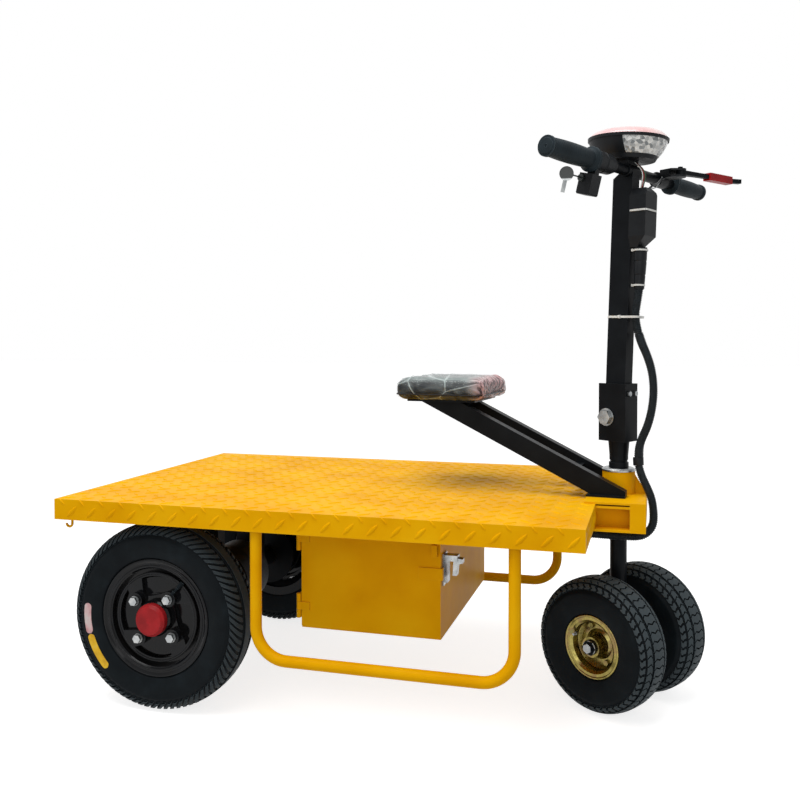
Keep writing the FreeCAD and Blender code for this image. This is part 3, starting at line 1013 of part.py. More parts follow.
def make_throttle():
    """Both grips, the throttle's housing inside the right one, and the key switch under it."""
    end = "(Dims.bar_half + Dims.grip_over)"
    lip = 6
    flange = "Dims.grip_flange"
    hole = "Dims.bar_radius"
    for label, body, long in (("right", "Dims.grip_radius", "Dims.grip_length"),
                              ("left", "Dims.left_grip_radius", "Dims.left_grip_length")):
        inner = f"({end} - {long})"
        grip = turned(f"grip_body_{label}", [
            (hole, inner), (f"{body} + {flange}", inner), (f"{body} + {flange}", f"{inner} + {lip}"),
            (f"{body} - 0.5", f"{inner} + 2 * {lip}", f"{body} + 1.5", f"{end} - {long} / 2"),
            (f"{body} - 0.5", f"{end} - 1.5 * {lip}"), (f"{body} + 1.5", f"{end} - {lip}"),
            (f"{body} + 1.5", end), (0, end), (0, "Dims.bar_half"), (hole, "Dims.bar_half")])
        turn = 180 if label == "right" else 0
        spot = at_point((BAR[0], 0, BAR[1]), turn)
        node(grip, f"grip_{label}", f"{MAST_FRAME} * {spot}")

    start = "(Dims.grip_length - Dims.bar_half - Dims.grip_over + 0.3)"
    radius, length = "Dims.throttle_radius", "Dims.throttle_length"
    shell = turned("throttle_shell", [
        (hole, start), (radius, start), (radius, f"{start} + {length} * 0.36"),
        (f"{radius} - 1.5", f"{start} + {length} * 0.38"), (f"{radius} - 1.5", f"{start} + {length} * 0.42"),
        (radius, f"{start} + {length} * 0.44"), (f"{radius} - 1", f"{start} + {length} * 0.8"),
        (f"{radius} - 6", f"{start} + {length}"), (hole, f"{start} + {length}")])
    put(shell, (BAR[0], 0, BAR[1]))
    turn = at_point((BAR[0], 0, BAR[1]), "Dims.switch_tilt", "0; 1; 0")
    near = f"({start} - Dims.switch_wide / 2)"
    box_top = "(Dims.grip_radius + 9)"
    case = padded("switch_case", "XZ_Plane", [
        ("-Dims.switch_deep / 3 + 2", f"-{box_top} - Dims.switch_tall"),
        ("Dims.switch_deep * 2 / 3 - 2", f"-{box_top} - Dims.switch_tall"),
        ("Dims.switch_deep * 2 / 3", f"-{box_top} - Dims.switch_tall + 3"),
        ("Dims.switch_deep * 2 / 3", f"-{box_top}"), ("-Dims.switch_deep / 3", f"-{box_top}"),
        ("-Dims.switch_deep / 3", f"-{box_top} - Dims.switch_tall + 3")], "Dims.switch_wide")
    case.setExpression("Placement", f"{turn} * {at_point((0, f'{near} + Dims.switch_wide', 0))}")
    neck = block("switch_neck", (0, 0, 0), (18, 14, f"{box_top}"))
    neck.setExpression("Placement", f"{turn} * {at_point((-5, f'{start} + 1', f'-{box_top} - 1'))}")
    bore = bar_rod("throttle_bore", "-Dims.bar_half", hole, "Dims.bar_half")
    solid = fuse("throttle_solid", [shell, case, neck])
    node(cut("throttle_body", solid, [bore]), "throttle_housing", MAST_FRAME)

    collar_thick, reach = 4, 48
    lock_low = f"(-{box_top} - Dims.switch_tall / 4)"
    key_x = -4
    collar = rod("key_collar", (0, 0, 0), "Y", 7, collar_thick)
    turn_y = at_point((0, 0, 0), -90, "1; 0; 0")
    collar_spot = at_point((key_x, f"{near} - {collar_thick}", lock_low))
    collar.setExpression("Placement", f"{turn} * {collar_spot} * {turn_y}")
    shank = block("key_shank", (0, 0, 0), (7, reach - 2, 2.4))
    shank_spot = at_point((key_x - 3.5, f"{near} - {reach} + 2", f"{lock_low} - 1"))
    shank.setExpression("Placement", f"{turn} * {shank_spot}")
    bow = rod("key_bow", (0, 0, 0), "Y", "Dims.key_bow", "Dims.key_thick")
    facing = at_point((0, "-Dims.key_thick / 2", 0))
    bow_spot = at_point((key_x, f"{near} - {reach}", lock_low), 35)
    bow.setExpression("Placement", f"{turn} * {bow_spot} * {facing} * {turn_y}")
    spare = block("key_spare", (0, 0, 0), (8, 2.4, 26))
    spare_spot = at_point((key_x - 4, f"{near} - {reach} - 1.2", f"{lock_low} - 36"))
    spare.setExpression("Placement", f"{turn} * {spare_spot}")
    node(fuse("key_set", [collar, shank, bow, spare]), "ignition_key", MAST_FRAME)


def make_brake():
    """The brake lever on its perch, with a red sleeve round the lever's outer half."""
    lever_up = "(Dims.bar_up + Dims.lever_up)"
    inner, wide = "Dims.perch_in", "Dims.perch_wide"
    ahead = "Dims.bar_ahead"
    pin_x, pin_y = f"({ahead} + Dims.lever_pin_ahead)", "Dims.lever_pin_in"
    clamp = bar_rod("perch_clamp", inner, "Dims.bar_radius + 5", wide)
    arm = padded("perch_arm", "XY_Plane",
                 [(f"{ahead} + 9", inner), (f"{pin_x} - 10", f"{inner} - 4"), (f"{pin_x} + 8", f"{pin_y} - 8",
                  f"{pin_x} + 12", pin_y), (f"{pin_x} + 6", f"{pin_y} + 10"), (f"{pin_x} - 12", f"{inner} + {wide} + 4"),
                  (f"{ahead} + 9", f"{inner} + {wide}")], "2 * Dims.lever_thick", both=True)
    put(arm, (0, 0, lever_up))
    hole = bar_rod("perch_hole", f"{inner} - 20", "Dims.bar_radius", f"{wide} + 40")
    slot = block("perch_slot", (f"{ahead} + 33", f"{inner} - 20", f"{lever_up} - Dims.lever_thick / 2 - 0.3"),
                 (60, f"{wide} + 40", "Dims.lever_thick + 0.6"))
    body = cut("perch_body", fuse("perch_solid", [clamp, arm]), [hole, slot])
    pin = rod("perch_pin", (pin_x, pin_y, f"{lever_up} - Dims.lever_thick"), "Z", "Dims.lever_pin",
              "2 * Dims.lever_thick")
    head = hexagon("perch_nut", (pin_x, pin_y, f"{lever_up} + Dims.lever_thick"), "Z", 5, 4)
    node(fuse("perch_whole", [body, pin, head]), "brake_perch", MAST_FRAME)
    blade = padded("lever_blade", "XY_Plane", [
        (f"{pin_x} - 7", f"{pin_y} + 5"), (f"{pin_x} - 7", f"{pin_y} - 5", f"{pin_x}", f"{pin_y} - 8"),
        (f"{pin_x} + 12", f"{pin_y} - 2", f"{pin_x} + 20", f"{pin_y} + 28"), (f"{pin_x} + 31", f"{pin_y} + 62"),
        (f"{pin_x} + 48", f"{pin_y} + 132"), (f"{pin_x} + 61", f"{pin_y} + 151"),
        (f"{pin_x} + 51", f"{pin_y} + 155"), (f"{pin_x} + 37", f"{pin_y} + 134"),
        (f"{pin_x} + 20", f"{pin_y} + 62", f"{pin_x} + 10", f"{pin_y} + 34")],
                   "Dims.lever_thick", both=True)
    put(blade, (0, 0, lever_up))
    eye = rod("lever_eye", (pin_x, pin_y, f"{lever_up} - 10"), "Z", "Dims.lever_pin + Dims.bearing_gap", 20)
    lever = cut("lever_body", blade, [eye])
    node(lever, "brake_lever", MAST_FRAME)
    sleeve = padded("sleeve_solid", "XY_Plane", [
        (f"{pin_x} + 35", f"{pin_y} + 64"), (f"{pin_x} + 51", f"{pin_y} + 130"),
        (f"{pin_x} + 34", f"{pin_y} + 133"), (f"{pin_x} + 17", f"{pin_y} + 66")],
                    "Dims.lever_thick + 7", both=True)
    put(sleeve, (0, 0, lever_up))
    node(cut("sleeve_body", sleeve, [blade]), "lever_sleeve", MAST_FRAME)


LAMP_FRAME = ("placement(vector(Dims.bar_ahead - Dims.lamp_back; 0; Dims.bar_up + Dims.lamp_up); "
              "rotation(vector(0; 1; 0); Dims.lamp_tilt))")


def in_lamp(thing, place=(0, 0, 0)):
    """Place a piece of the lamp in the lamp's own tilted frame, whose origin is the rim's top."""
    thing.setExpression("Placement", f"{LAMP_FRAME} * {at_point(place)}")
    return thing


def oval(name, shrink, height):
    """One of the lamp's oval sections, smaller than its rim all round by one distance."""
    ring = doc.addObject("Part::Ellipse", name)
    bind(ring, MajorRadius=f"Dims.lamp_long - {shrink}", MinorRadius=f"Dims.lamp_wide - {shrink}")
    return in_lamp(ring, (0, 0, height))


def through(name, sections, ruled=False):
    """A solid through oval sections."""
    form = doc.addObject("Part::Loft", name)
    form.Sections = sections
    form.Solid = True
    form.Ruled = ruled
    return form


def make_lamp():
    """Headlamp and dial in one oval housing: base, bowl with the clear lens in front, rim, top."""
    under_rim = "(-Dims.lamp_rim)"
    bowl_low = f"({under_rim} - Dims.lamp_bowl)"
    base_low = f"({bowl_low} - Dims.lamp_base)"
    bowl = through("lamp_bowl_form", [oval("bowl_0", 19, bowl_low), oval("bowl_1", 9, f"{bowl_low} * 0.62"),
                                      oval("bowl_2", 3, under_rim)])
    rim = through("lamp_rim_form", [oval("rim_0", 0.5, under_rim), oval("rim_1", 0, 0)], True)
    base = through("lamp_base_form", [oval("base_0", 24, base_low), oval("base_1", 20, bowl_low)], True)
    dome = through("lamp_top_form", [oval("dome_0", 1, 0), oval("dome_1", 12, "Dims.lamp_dome * 0.72"),
                                     oval("dome_2", 40, "Dims.lamp_dome")])
    long_2, wide_2 = "2 * Dims.lamp_long", "2 * Dims.lamp_wide"
    zone = in_lamp(block("lens_zone", (0, 0, 0), (long_2, wide_2, "Dims.lamp_bowl")),
                   ("Dims.lens_back", "-Dims.lamp_wide", bowl_low))
    lens = doc.addObject("Part::Common", "lens")
    lens.Base, lens.Tool = bowl, zone
    post = in_lamp(block("lamp_post", (0, 0, 0), (36, 40, 22)), (-20, -20, f"{base_low} - 18"))
    sleeve = bar_rod("sleeve_clear", "-Dims.bar_half", "Dims.bar_radius + Dims.column_wall + 0.6",
                     "2 * Dims.bar_half")
    housing = cut("lamp_case", fuse("lamp_whole", [bowl, rim, base, post]), [zone, sleeve])
    for thing, label in ((lens, "lamp_lens"), (dome, "lamp_top"), (housing, "lamp_housing")):
        node(thing, label, MAST_FRAME)


def make_cover():
    """The connector cover on the column's front: rounded shoulders, tapered towards the loom."""
    front = "(Dims.column_ahead + Dims.column_deep / 2)"
    low, tall, deep = "Dims.cover_low", "Dims.cover_tall", "Dims.cover_deep"
    half = "Dims.cover_wide / 2"
    taper = 22
    side = padded("cover_side", "XZ_Plane", [
        (front, low), (f"{front} + {deep} - {taper}", low), (f"{front} + {deep}", f"{low} + {taper}"),
        (f"{front} + {deep}", f"{low} + {tall} - 9"), (f"{front} + {deep} - 8", f"{low} + {tall}"),
        (front, f"{low} + {tall}")], "Dims.cover_wide", both=True)
    face = padded("cover_face", "YZ_Plane", [
        (f"8 - {half}", low), (f"{half} - 8", low), (half, f"{low} + {taper}"), (half, f"{low} + {tall} - 14"),
        (f"{half} - 10", f"{low} + {tall}"), (f"10 - {half}", f"{low} + {tall}"),
        (f"-{half}", f"{low} + {tall} - 14"), (f"-{half}", f"{low} + {taper}")], f"{front} + {deep} + 1")
    both = doc.addObject("Part::Common", "cover_form")
    both.Base, both.Tool = side, face
    node(both, "connector_cover", MAST_FRAME)


# ---------------------------------------------------------------- looms
def loom_path(points):
    """Straight runs joined by tangent arcs, each as large as its two runs allow."""
    spots = [Vector(*point) for point in points]
    edges, radii = [], []
    start = spots[0]
    for before, corner, after in zip(spots, spots[1:], spots[2:]):
        towards, onward = (before - corner), (after - corner)
        shorter = min(towards.Length, onward.Length)
        towards.normalize()
        onward.normalize()
        turn = math.pi - towards.getAngle(onward)
        reach = 0.45 * shorter
        radii.append(reach / math.tan(turn / 2))
        enter, leave = corner + towards * reach, corner + onward * reach
        inward = (towards + onward).normalize()
        centre_far = radii[-1] / math.cos(turn / 2)
        middle = corner + inward * (centre_far - radii[-1])
        edges.append(Part.LineSegment(start, enter).toShape())
        edges.append(Part.Arc(enter, middle, leave).toShape())
        start = leave
    edges.append(Part.LineSegment(start, spots[-1]).toShape())
    return Part.Wire(edges), radii


def make_loom(label, points, radius, frame=None):
    """A loom's tube along its route, in its own frame."""
    path, radii = loom_path(points)
    size = size_of(radius)
    first = Vector(*points[0])
    ring = Part.Wire(Part.makeCircle(size, first, Vector(*points[1]) - first))
    tube = path.makePipeShell([ring], True, False)
    loom = doc.addObject("Part::Feature", label)
    loom.Shape = tube
    print(f"{label}: length {path.Length:.0f}, radii", [round(value) for value in radii],
          f"volume ratio {abs(tube.Volume) / (path.Length * math.pi * size ** 2):.3f}")
    node(loom, label, frame)


LOOM_UPPER = [(54, 0, 346), (54, 0, 310), (53, 0, 270), (48.5, 0, 236), (43.5, 0, 203), (53.5, 0, 173)]
LOOM_BULGE = [(40.8, 6.9, 751.2), (46.6, 5.9, 734.6), (62, 3.5, 710), (75.5, 1.5, 677), (81, 0, 639),
              (77, 0, 600), (67, 0, 565), (53, 0, 538), (45, 0, 512), (46.5, 0, 487)]
INNER_BULGE = [(36, 21.5, 752), (43, 21, 734), (55, 20, 709), (65, 19, 676), (68, 18, 638), (65, 18, 600),
               (57, 17, 566), (46, 16, 538), (42, 15, 512), (44, 13.85, 488)]
LOOM_LOWER = [(462.2, -24.1, 484.6), (467.5, -27.5, 465), (478, -34, 445), (488, -40, 423), (492, -42.3, 398),
              (492, -42.2, 371), (482, -42.6, 354), (465, -43, 344.3), (440, -43.5, 343.5), (400, -44.5, 344),
              (340, -45.5, 346), (260, -46, 349), (170, -46, 351), (size_of(BOX_FRONT), -46, 351)]


def make_looms():
    """The corrugated loom in three lengths, parted where the fold and the steering move it."""
    make_loom("loom_upper", LOOM_UPPER, "Dims.loom_radius", MAST_FRAME)
    make_loom("loom_bulge", LOOM_BULGE, "Dims.loom_radius", STEER_FRAME)
    make_loom("loom_inner", INNER_BULGE, "Dims.inner_loom_radius", STEER_FRAME)
    make_loom("loom_lower", LOOM_LOWER, "Dims.loom_radius")


make_deck()
make_chassis()
make_head()
make_guards()
make_box()
make_seat()
make_rear_wheels()
make_front_wheels()
make_rear_axle()
make_steering()
make_column()
make_looms()
doc.recompute()

# ---------------------------------------------------------------- checks and export
for thing in doc.Objects:
    if "Invalid" in thing.State or "Error" in thing.State:
        raise RuntimeError(f"{thing.Name} did not compute: {thing.State}")
for label, thing in nodes.items():
    if thing.Shape.isNull() or not thing.Shape.isValid():
        raise RuntimeError(f"{label} has no valid shape")

os.makedirs("parts", exist_ok=True)
whole = Part.makeCompound([thing.Shape for thing in nodes.values()])
for label, thing in nodes.items():
    thing.Shape.exportStep(f"parts/{label}.step")
print(len(nodes), "nodes; box", whole.BoundBox)
for label, thing in nodes.items():
    print(f"{label}: {len(thing.Shape.Solids)} solids, {thing.Shape.Volume / 1000:.1f} cm3, "
          f"{thing.Shape.BoundBox}")
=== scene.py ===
# %% [markdown]
# # Folding flatbed cart, dressed for the camera
# The construction arrives as finished CAD solids. They are in metres, with +X forward, +Y to
# the cart's left and +Z up, and every solid already moves with its own body. This lesson
# gives them their finishes, and models what a sheet-metal drawing leaves out: the raised
# lugs of the tread plate, the tyres' treads, the looms' ribs, the padded seat and its film.
# %% Load the finished solids
import json
import math
import bpy
from mathutils import Matrix, Vector, noise

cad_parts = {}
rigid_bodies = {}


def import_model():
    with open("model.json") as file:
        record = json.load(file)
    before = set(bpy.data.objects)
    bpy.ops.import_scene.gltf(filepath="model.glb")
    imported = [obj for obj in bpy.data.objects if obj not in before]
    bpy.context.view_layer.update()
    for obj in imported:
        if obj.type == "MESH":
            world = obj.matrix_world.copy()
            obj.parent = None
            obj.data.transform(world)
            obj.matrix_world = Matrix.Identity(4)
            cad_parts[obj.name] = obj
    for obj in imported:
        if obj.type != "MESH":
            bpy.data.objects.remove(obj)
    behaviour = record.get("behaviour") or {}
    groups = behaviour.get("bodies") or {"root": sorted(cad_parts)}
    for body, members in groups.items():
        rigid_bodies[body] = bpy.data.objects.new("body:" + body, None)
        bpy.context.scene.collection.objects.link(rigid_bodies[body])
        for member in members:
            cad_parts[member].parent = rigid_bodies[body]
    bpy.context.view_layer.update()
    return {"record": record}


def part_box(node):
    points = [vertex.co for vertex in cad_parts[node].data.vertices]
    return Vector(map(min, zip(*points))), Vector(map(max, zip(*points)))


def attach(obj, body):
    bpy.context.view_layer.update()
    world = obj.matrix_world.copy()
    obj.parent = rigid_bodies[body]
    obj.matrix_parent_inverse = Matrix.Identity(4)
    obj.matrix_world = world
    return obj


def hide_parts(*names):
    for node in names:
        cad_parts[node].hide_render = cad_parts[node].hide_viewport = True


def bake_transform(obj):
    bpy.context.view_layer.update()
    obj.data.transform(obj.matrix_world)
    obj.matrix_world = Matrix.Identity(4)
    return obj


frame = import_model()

MM = 0.001


def in_scene(name, data):
    """A new object of the scene that holds some data."""
    made = bpy.data.objects.new(name, data)
    bpy.context.scene.collection.objects.link(made)
    return made


# %% [markdown]
# The camera comes first, because everything after it is judged through it. It stands a
# little above the deck, ahead of the cart's middle, and looks slightly down and to the
# rear. The lens shift keeps uprights upright, as a view camera's rising front does.
# %% Camera
camera_data = bpy.data.cameras.new("camera")
camera = in_scene("camera", camera_data)
camera.location = (0.4977, -1.8169, 0.7461)
camera.rotation_euler = (math.radians(88.91), 0, math.radians(15.33))
camera_data.lens = 38.8
camera_data.sensor_width = 36
camera_data.shift_x = -0.0264
camera_data.shift_y = -0.0595
bpy.context.scene.camera = camera
print("camera lens", camera_data.lens, "mm")

# %% [markdown]
# The steering stands turned to the right and its column leans a little, so everything on
# it is easier to place in its own axes. `steering` takes forward, left and up distances in
# millimetres from the steering axis; `mast` takes them from the fold's pivot, along the
# leaned column. Both give points of the cart.
# %% The steering's and the column's own axes
STEER_X = 422
STEER_TURN = math.radians(31)
PIVOT_BACK = 15
PIVOT_HIGH = 580
LEAN = math.radians(0.6)
SIDE_LEAN = math.radians(2.3)
steer_frame = Matrix.Translation((STEER_X, 0, 0)) @ Matrix.Rotation(-STEER_TURN, 4, "Z")
mast_frame = (steer_frame @ Matrix.Translation((-PIVOT_BACK, 0, PIVOT_HIGH))
              @ Matrix.Rotation(LEAN, 4, "Y") @ Matrix.Rotation(-SIDE_LEAN, 4, "X"))


def steering(ahead, left, up):
    """A point in metres from the steering's own axes in millimetres."""
    return (steer_frame @ Vector((ahead, left, up))) * MM


def mast(ahead, left, up):
    """A point in metres from the leaned column's own axes in millimetres."""
    return (mast_frame @ Vector((ahead, left, up))) * MM


print("handlebar's middle", [round(value, 3) for value in mast(22, 0, 504)])

# %% [markdown]
# A loom is a split corrugated sleeve round a bundle of wires. It can bend easily but keeps
# one length, so its line is a smooth NURBS curve through the same points as its solid. The
# ribs are real geometry: rings whose radius steps in and out every few millimetres follow
# points that Blender gives along that curve. A plain bevelled curve would have no ribs.
# %% The looms' routes
LOOM_UPPER = [(54, 0, 346), (54, 0, 310), (53, 0, 270), (48.5, 0, 236), (43.5, 0, 203), (53.5, 0, 173)]
LOOM_BULGE = [(40.8, 6.9, 751.2), (46.6, 5.9, 734.6), (62, 3.5, 710), (75.5, 1.5, 677), (81, 0, 639),
              (77, 0, 600), (67, 0, 565), (53, 0, 538), (45, 0, 512), (46.5, 0, 487)]
INNER_BULGE = [(36, 21.5, 752), (43, 21, 734), (55, 20, 709), (65, 19, 676), (68, 18, 638),
               (65, 18, 600), (57, 17, 566), (46, 16, 538), (42, 15, 512), (44, 13.85, 488)]
LOOM_LOWER = [(462.2, -24.1, 484.6), (467.5, -27.5, 465), (478, -34, 445), (488, -40, 423),
              (492, -42.3, 398), (492, -42.2, 371), (482, -42.6, 354), (465, -43, 344.3),
              (440, -43.5, 343.5), (400, -44.5, 344), (340, -45.5, 346), (260, -46, 349),
              (170, -46, 351), (95, -46, 351)]


def route_line(name, points):
    """The smooth line of a cord, and the points that Blender gives along it."""
    data = bpy.data.curves.new(name, "CURVE")
    data.dimensions = "3D"
    data.resolution_u = 24
    spline = data.splines.new("NURBS")
    spline.points.add(len(points) - 1)
    for knot, point in zip(spline.points, points):
        knot.co = (*point, 1)
    spline.order_u = 3
    spline.use_endpoint_u = True
    line = in_scene(name, data)
    sampled = bpy.data.meshes.new_from_object(line)
    path = [vertex.co.copy() for vertex in sampled.vertices]
    bpy.data.objects.remove(line)
    return path


def length_of(path):
    """How long a line of points is, in metres."""
    return sum((b - a).length for a, b in zip(path, path[1:]))


def at_distance(path, distance):
    """The point and the direction at a distance along a line."""
    for a, b in zip(path, path[1:]):
        run = (b - a).length
        if distance <= run or b is path[-1]:
            return a.lerp(b, min(1, distance / run)), (b - a).normalized()
        distance -= run


def ribbed_tube(name, path, radius, pitch, depth, sides=18):
    """A corrugated tube along a line: each rib rises, holds, falls and holds."""
    total = length_of(path)
    ribs = round(total / pitch)
    rib_steps = ((0.0, depth), (0.12, 0), (0.52, 0), (0.64, depth))
    rings = [(*at_distance(path, total * (rib + share) / ribs), lower)
             for rib in range(ribs) for share, lower in rib_steps]
    rings.append((path[-1], (path[-1] - path[-2]).normalized(), depth))
    side_way = Vector((0, 1, 0.02)).normalized()
    vertices, faces = [], []
    for point, along, lower in rings:
        across = (side_way - along * side_way.dot(along)).normalized()
        upward = along.cross(across)
        for side in range(sides):
            turn = math.tau * side / sides
            vertices.append(point + (across * math.cos(turn) + upward * math.sin(turn)) * (radius - lower))
    for low in range(0, len(vertices) - sides, sides):
        for side in range(sides):
            beside = (side + 1) % sides
            faces.append((low + side, low + beside, low + sides + beside, low + sides + side))
    faces.append(tuple(reversed(range(sides))))
    faces.append(tuple(range(len(vertices) - sides, len(vertices))))
    mesh = bpy.data.meshes.new(name)
    mesh.from_pydata(vertices, [], faces)
    mesh.validate()
    return in_scene(name, mesh)


def declared_cord(tube, path):
    """Prints a tube's real length, in millimetres."""
    print(tube.name, f"{length_of(path) / MM:.0f} mm long")


# %% [markdown]
# Two joints cross the loom: the column folds and the fork steers. A real loom gives way
# there; the looms that cross a joint stay where they are drawn, and only the upper one rides the column.
# %% The looms themselves
THICK_LOOM = 17
THIN_LOOM = 11
RIB_DEPTH = 1.2
fold_bodies = ["column", "steering"]
looms = []
for name, points, place, thick, rib_pitch, bodies, heights in (
        ("loom_upper", LOOM_UPPER, mast, THICK_LOOM, 3.6, ["column"], None),
        ("loom_bulge", LOOM_BULGE, steering, THICK_LOOM, 3.6, fold_bodies, (752, 487)),
        ("loom_inner", INNER_BULGE, steering, THIN_LOOM, 3, fold_bodies, (752, 488)),
        ("loom_lower", LOOM_LOWER, lambda *spot: Vector(spot) * MM, THICK_LOOM, 3.6,
         ["steering", "chassis"], (484, 385))):
    path = route_line(name + "_line", [place(*point) for point in points])
    tube = ribbed_tube(name + "_ribbed", path, thick / 2 * MM, rib_pitch * MM, RIB_DEPTH * MM)
    if heights:
        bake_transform(tube)
    else:
        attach(tube, bodies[0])
    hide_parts(name)
    declared_cord(tube, path)
    looms.append(tube)

# %% [markdown]
# Colours are written as the sRGB values that a paint chart gives, and one function makes
# them linear. `add_node` puts any node into a material with its settings and its links.
# Patterns read Object coordinates, so they stay on the piece at their real size.
# %% Helpers for finishes
def linear(hex_colour):
    """A colour written as #RRGGBB, as the shader's linear values."""
    parts = [int(hex_colour[i:i + 2], 16) / 255 for i in (1, 3, 5)]
    return tuple(c / 12.92 if c <= 0.04045 else ((c + 0.055) / 1.055) ** 2.4 for c in parts) + (1.0,)


def add_node(tree, kind, settings=None, links=None, feeds=None, **kept):
    """Adds a node, sets its attributes and inputs, links its inputs, and feeds a socket."""
    made = tree.nodes.new("ShaderNode" + kind)
    for name, value in kept.items():
        setattr(made, name, value)
    for name, value in (settings or {}).items():
        made.inputs[name].default_value = value
    for name, source in (links or {}).items():
        tree.links.new(source, made.inputs[name])
    if feeds:
        tree.links.new(made.outputs[0], feeds)
    return made


def new_finish(name, colour, roughness, metallic=0.0, **uniform):
    """A material whose plain values sit on the shader's own sockets."""
    material = bpy.data.materials.new(name)
    material.use_nodes = True
    tree = material.node_tree
    shader = tree.nodes["Principled BSDF"]
    shader.inputs["Base Color"].default_value = linear(colour)
    shader.inputs["Roughness"].default_value = roughness
    shader.inputs["Metallic"].default_value = metallic
    for socket, value in uniform.items():
        shader.inputs[socket.replace("_", " ")].default_value = value
    place = add_node(tree, "TexCoord").outputs["Object"]
    return material, tree, shader, place


def mottled(tree, place, scale, detail, stops):
    """A soft noise at a scale per metre, turned into a run of colours."""
    clouds = add_node(tree, "TexNoise", {"Scale": scale, "Detail": detail}, {"Vector": place})
    ramp = add_node(tree, "ValToRGB", None, {"Fac": clouds.outputs["Fac"]})
    for count, (position, colour) in enumerate(stops):
        stop = ramp.color_ramp.elements[count] if count < 2 else ramp.color_ramp.elements.new(position)
        stop.position = position
        stop.color = linear(colour)
    return ramp.outputs["Color"]


def painted_over(tree, base, colour, found, start, end, amount):
    """Mixes a colour over a base, as a value that was found runs from a start to an end."""
    mask = add_node(tree, "MapRange", {"From Min": start, "From Max": end, "To Max": amount},
                    {"Value": found})
    mixed = add_node(tree, "Mix", {"B": linear(colour)}, {"Factor": mask.outputs[0], "A": base},
                     data_type="RGBA")
    return mixed.outputs["Result"]


def edge_wear_and_painted_highlight(tree, base, wear_and_highlight, radius, amount):
    """Mixes a second colour in along sharp edges, found by rounding the normal: wear, and on some finishes
    a painted highlight.
    """
    rounded = add_node(tree, "Bevel", {"Radius": radius}, samples=6)
    flat = add_node(tree, "NewGeometry")
    alike = add_node(tree, "VectorMath", None,
                     {0: rounded.outputs["Normal"], 1: flat.outputs["Normal"]}, operation="DOT_PRODUCT")
    return painted_over(tree, base, wear_and_highlight, alike.outputs["Value"], 0.97, 0.78, amount)


def corner_dust_and_painted_shade(tree, base, dust_and_painted_light, amount):
    """Mixes a colour into the corners by ambient occlusion: painted shade where it is darker than the coat,
    dust where it is paler.
    """
    hidden = add_node(tree, "AmbientOcclusion", {"Distance": 0.03}, samples=6)
    return painted_over(tree, base, dust_and_painted_light, hidden.outputs["AO"], 0.75, 0.2, amount)


def in_relief(tree, place, shader, strength, height, kind, settings, **kept):
    """Raises a shader's surface by a fine pattern, and returns the pattern's value."""
    pattern = add_node(tree, kind, settings, {"Vector": place}, **kept)
    value = pattern.outputs["Distance" if kind == "TexVoronoi" else "Fac"]
    add_node(tree, "Bump", {"Strength": strength, "Distance": height}, {"Height": value},
             shader.inputs["Normal"])
    return value


def coated(name, stops, clouds, roughness, wear_and_highlight=None, dust_and_painted_light=None, metallic=0.0, **uniform):
    """A material in soft clouds of a few colours, its edges mixed lighter as wear and painted highlight,
    and its corners by ambient occlusion as dust and painted shade.
    """
    material, tree, shader, place = new_finish(name, stops[0][1], roughness, metallic, **uniform)
    coat = mottled(tree, place, *clouds, stops)
    if wear_and_highlight:
        coat = edge_wear_and_painted_highlight(tree, coat, *wear_and_highlight)
    if dust_and_painted_light:
        coat = corner_dust_and_painted_shade(tree, coat, *dust_and_painted_light)
    tree.links.new(coat, shader.inputs["Base Color"])
    return material, tree, shader, place


def clouded_finish(name, stops, clouds, roughness, relief, kept=None, **uniform):
    """A coat of soft clouds alone, under one fine relief."""
    material, tree, shader, place = coated(name, stops, clouds, roughness, **uniform)
    in_relief(tree, place, shader, *relief, **(kept or {}))
    return material


finishes = {}

# %% [markdown]
# The steel is sprayed with a strong chrome-yellow enamel over bare sheet. Such a coat has
# a slight orange peel and runs a little thicker and warmer in places. Its edges get a paler
# yellow as a painted highlight, and its corners a brown as painted shade.
# %% Yellow enamel on sheet steel
yellow, tree, shader, place = coated(
    "sprayed_yellow_enamel", ((0.3, "#EAA500"), (0.5, "#F2B002"), (0.72, "#F7BA0A")), (9, 4), 0.42,
    ("#FFD24A", 0.0012, 0.5), ("#A86A10", 0.5), IOR=1.5, Specular_IOR_Level=0.03)
in_relief(tree, place, shader, 0.18, 0.0006, "TexNoise", {"Scale": 420, "Detail": 2})
gloss = add_node(tree, "TexNoise", {"Scale": 30, "Detail": 5}, {"Vector": place})
add_node(tree, "MapRange", {"To Min": 0.34, "To Max": 0.5}, {"Value": gloss.outputs["Fac"]},
         shader.inputs["Roughness"])
finishes["yellow_paint"] = yellow
print("yellow enamel:", len(tree.nodes), "nodes")

# %% [markdown]
# Frame parts that hands and boots touch are coated black: satin, very slightly blue, with
# faint scuffs that show the coat's grey edge.
# %% Satin black coating
black, tree, shader, place = coated(
    "satin_black_coating", ((0.3, "#0B0D10"), (0.7, "#14171A")), (26, 5), 0.36,
    ("#4A5056", 0.0009, 0.35), IOR=1.5, Specular_IOR_Level=0.07)
scuffs = in_relief(tree, place, shader, 0.08, 0.0004, "TexNoise",
                   {"Scale": 60, "Detail": 8, "Roughness": 0.7})
add_node(tree, "MapRange", {"To Min": 0.26, "To Max": 0.5}, {"Value": scuffs}, shader.inputs["Roughness"])
finishes["black_paint"] = black
print("satin black:", len(tree.nodes), "nodes")

# %% [markdown]
# The rear rims are dipped in a glossier black enamel that pools softly over the pressings.
# %% Glossy black wheel enamel
enamel, tree, shader, place = coated(
    "glossy_black_enamel", ((0.35, "#08090B"), (0.7, "#101216")), (18, 3), 0.1,
    ("#565B62", 0.001, 0.25), ("#2A2724", 0.4), IOR=1.52, Specular_IOR_Level=0.16)
in_relief(tree, place, shader, 0.12, 0.0008, "TexNoise", {"Scale": 55, "Detail": 2})
finishes["black_enamel"] = enamel
print("wheel enamel:", len(tree.nodes), "nodes")

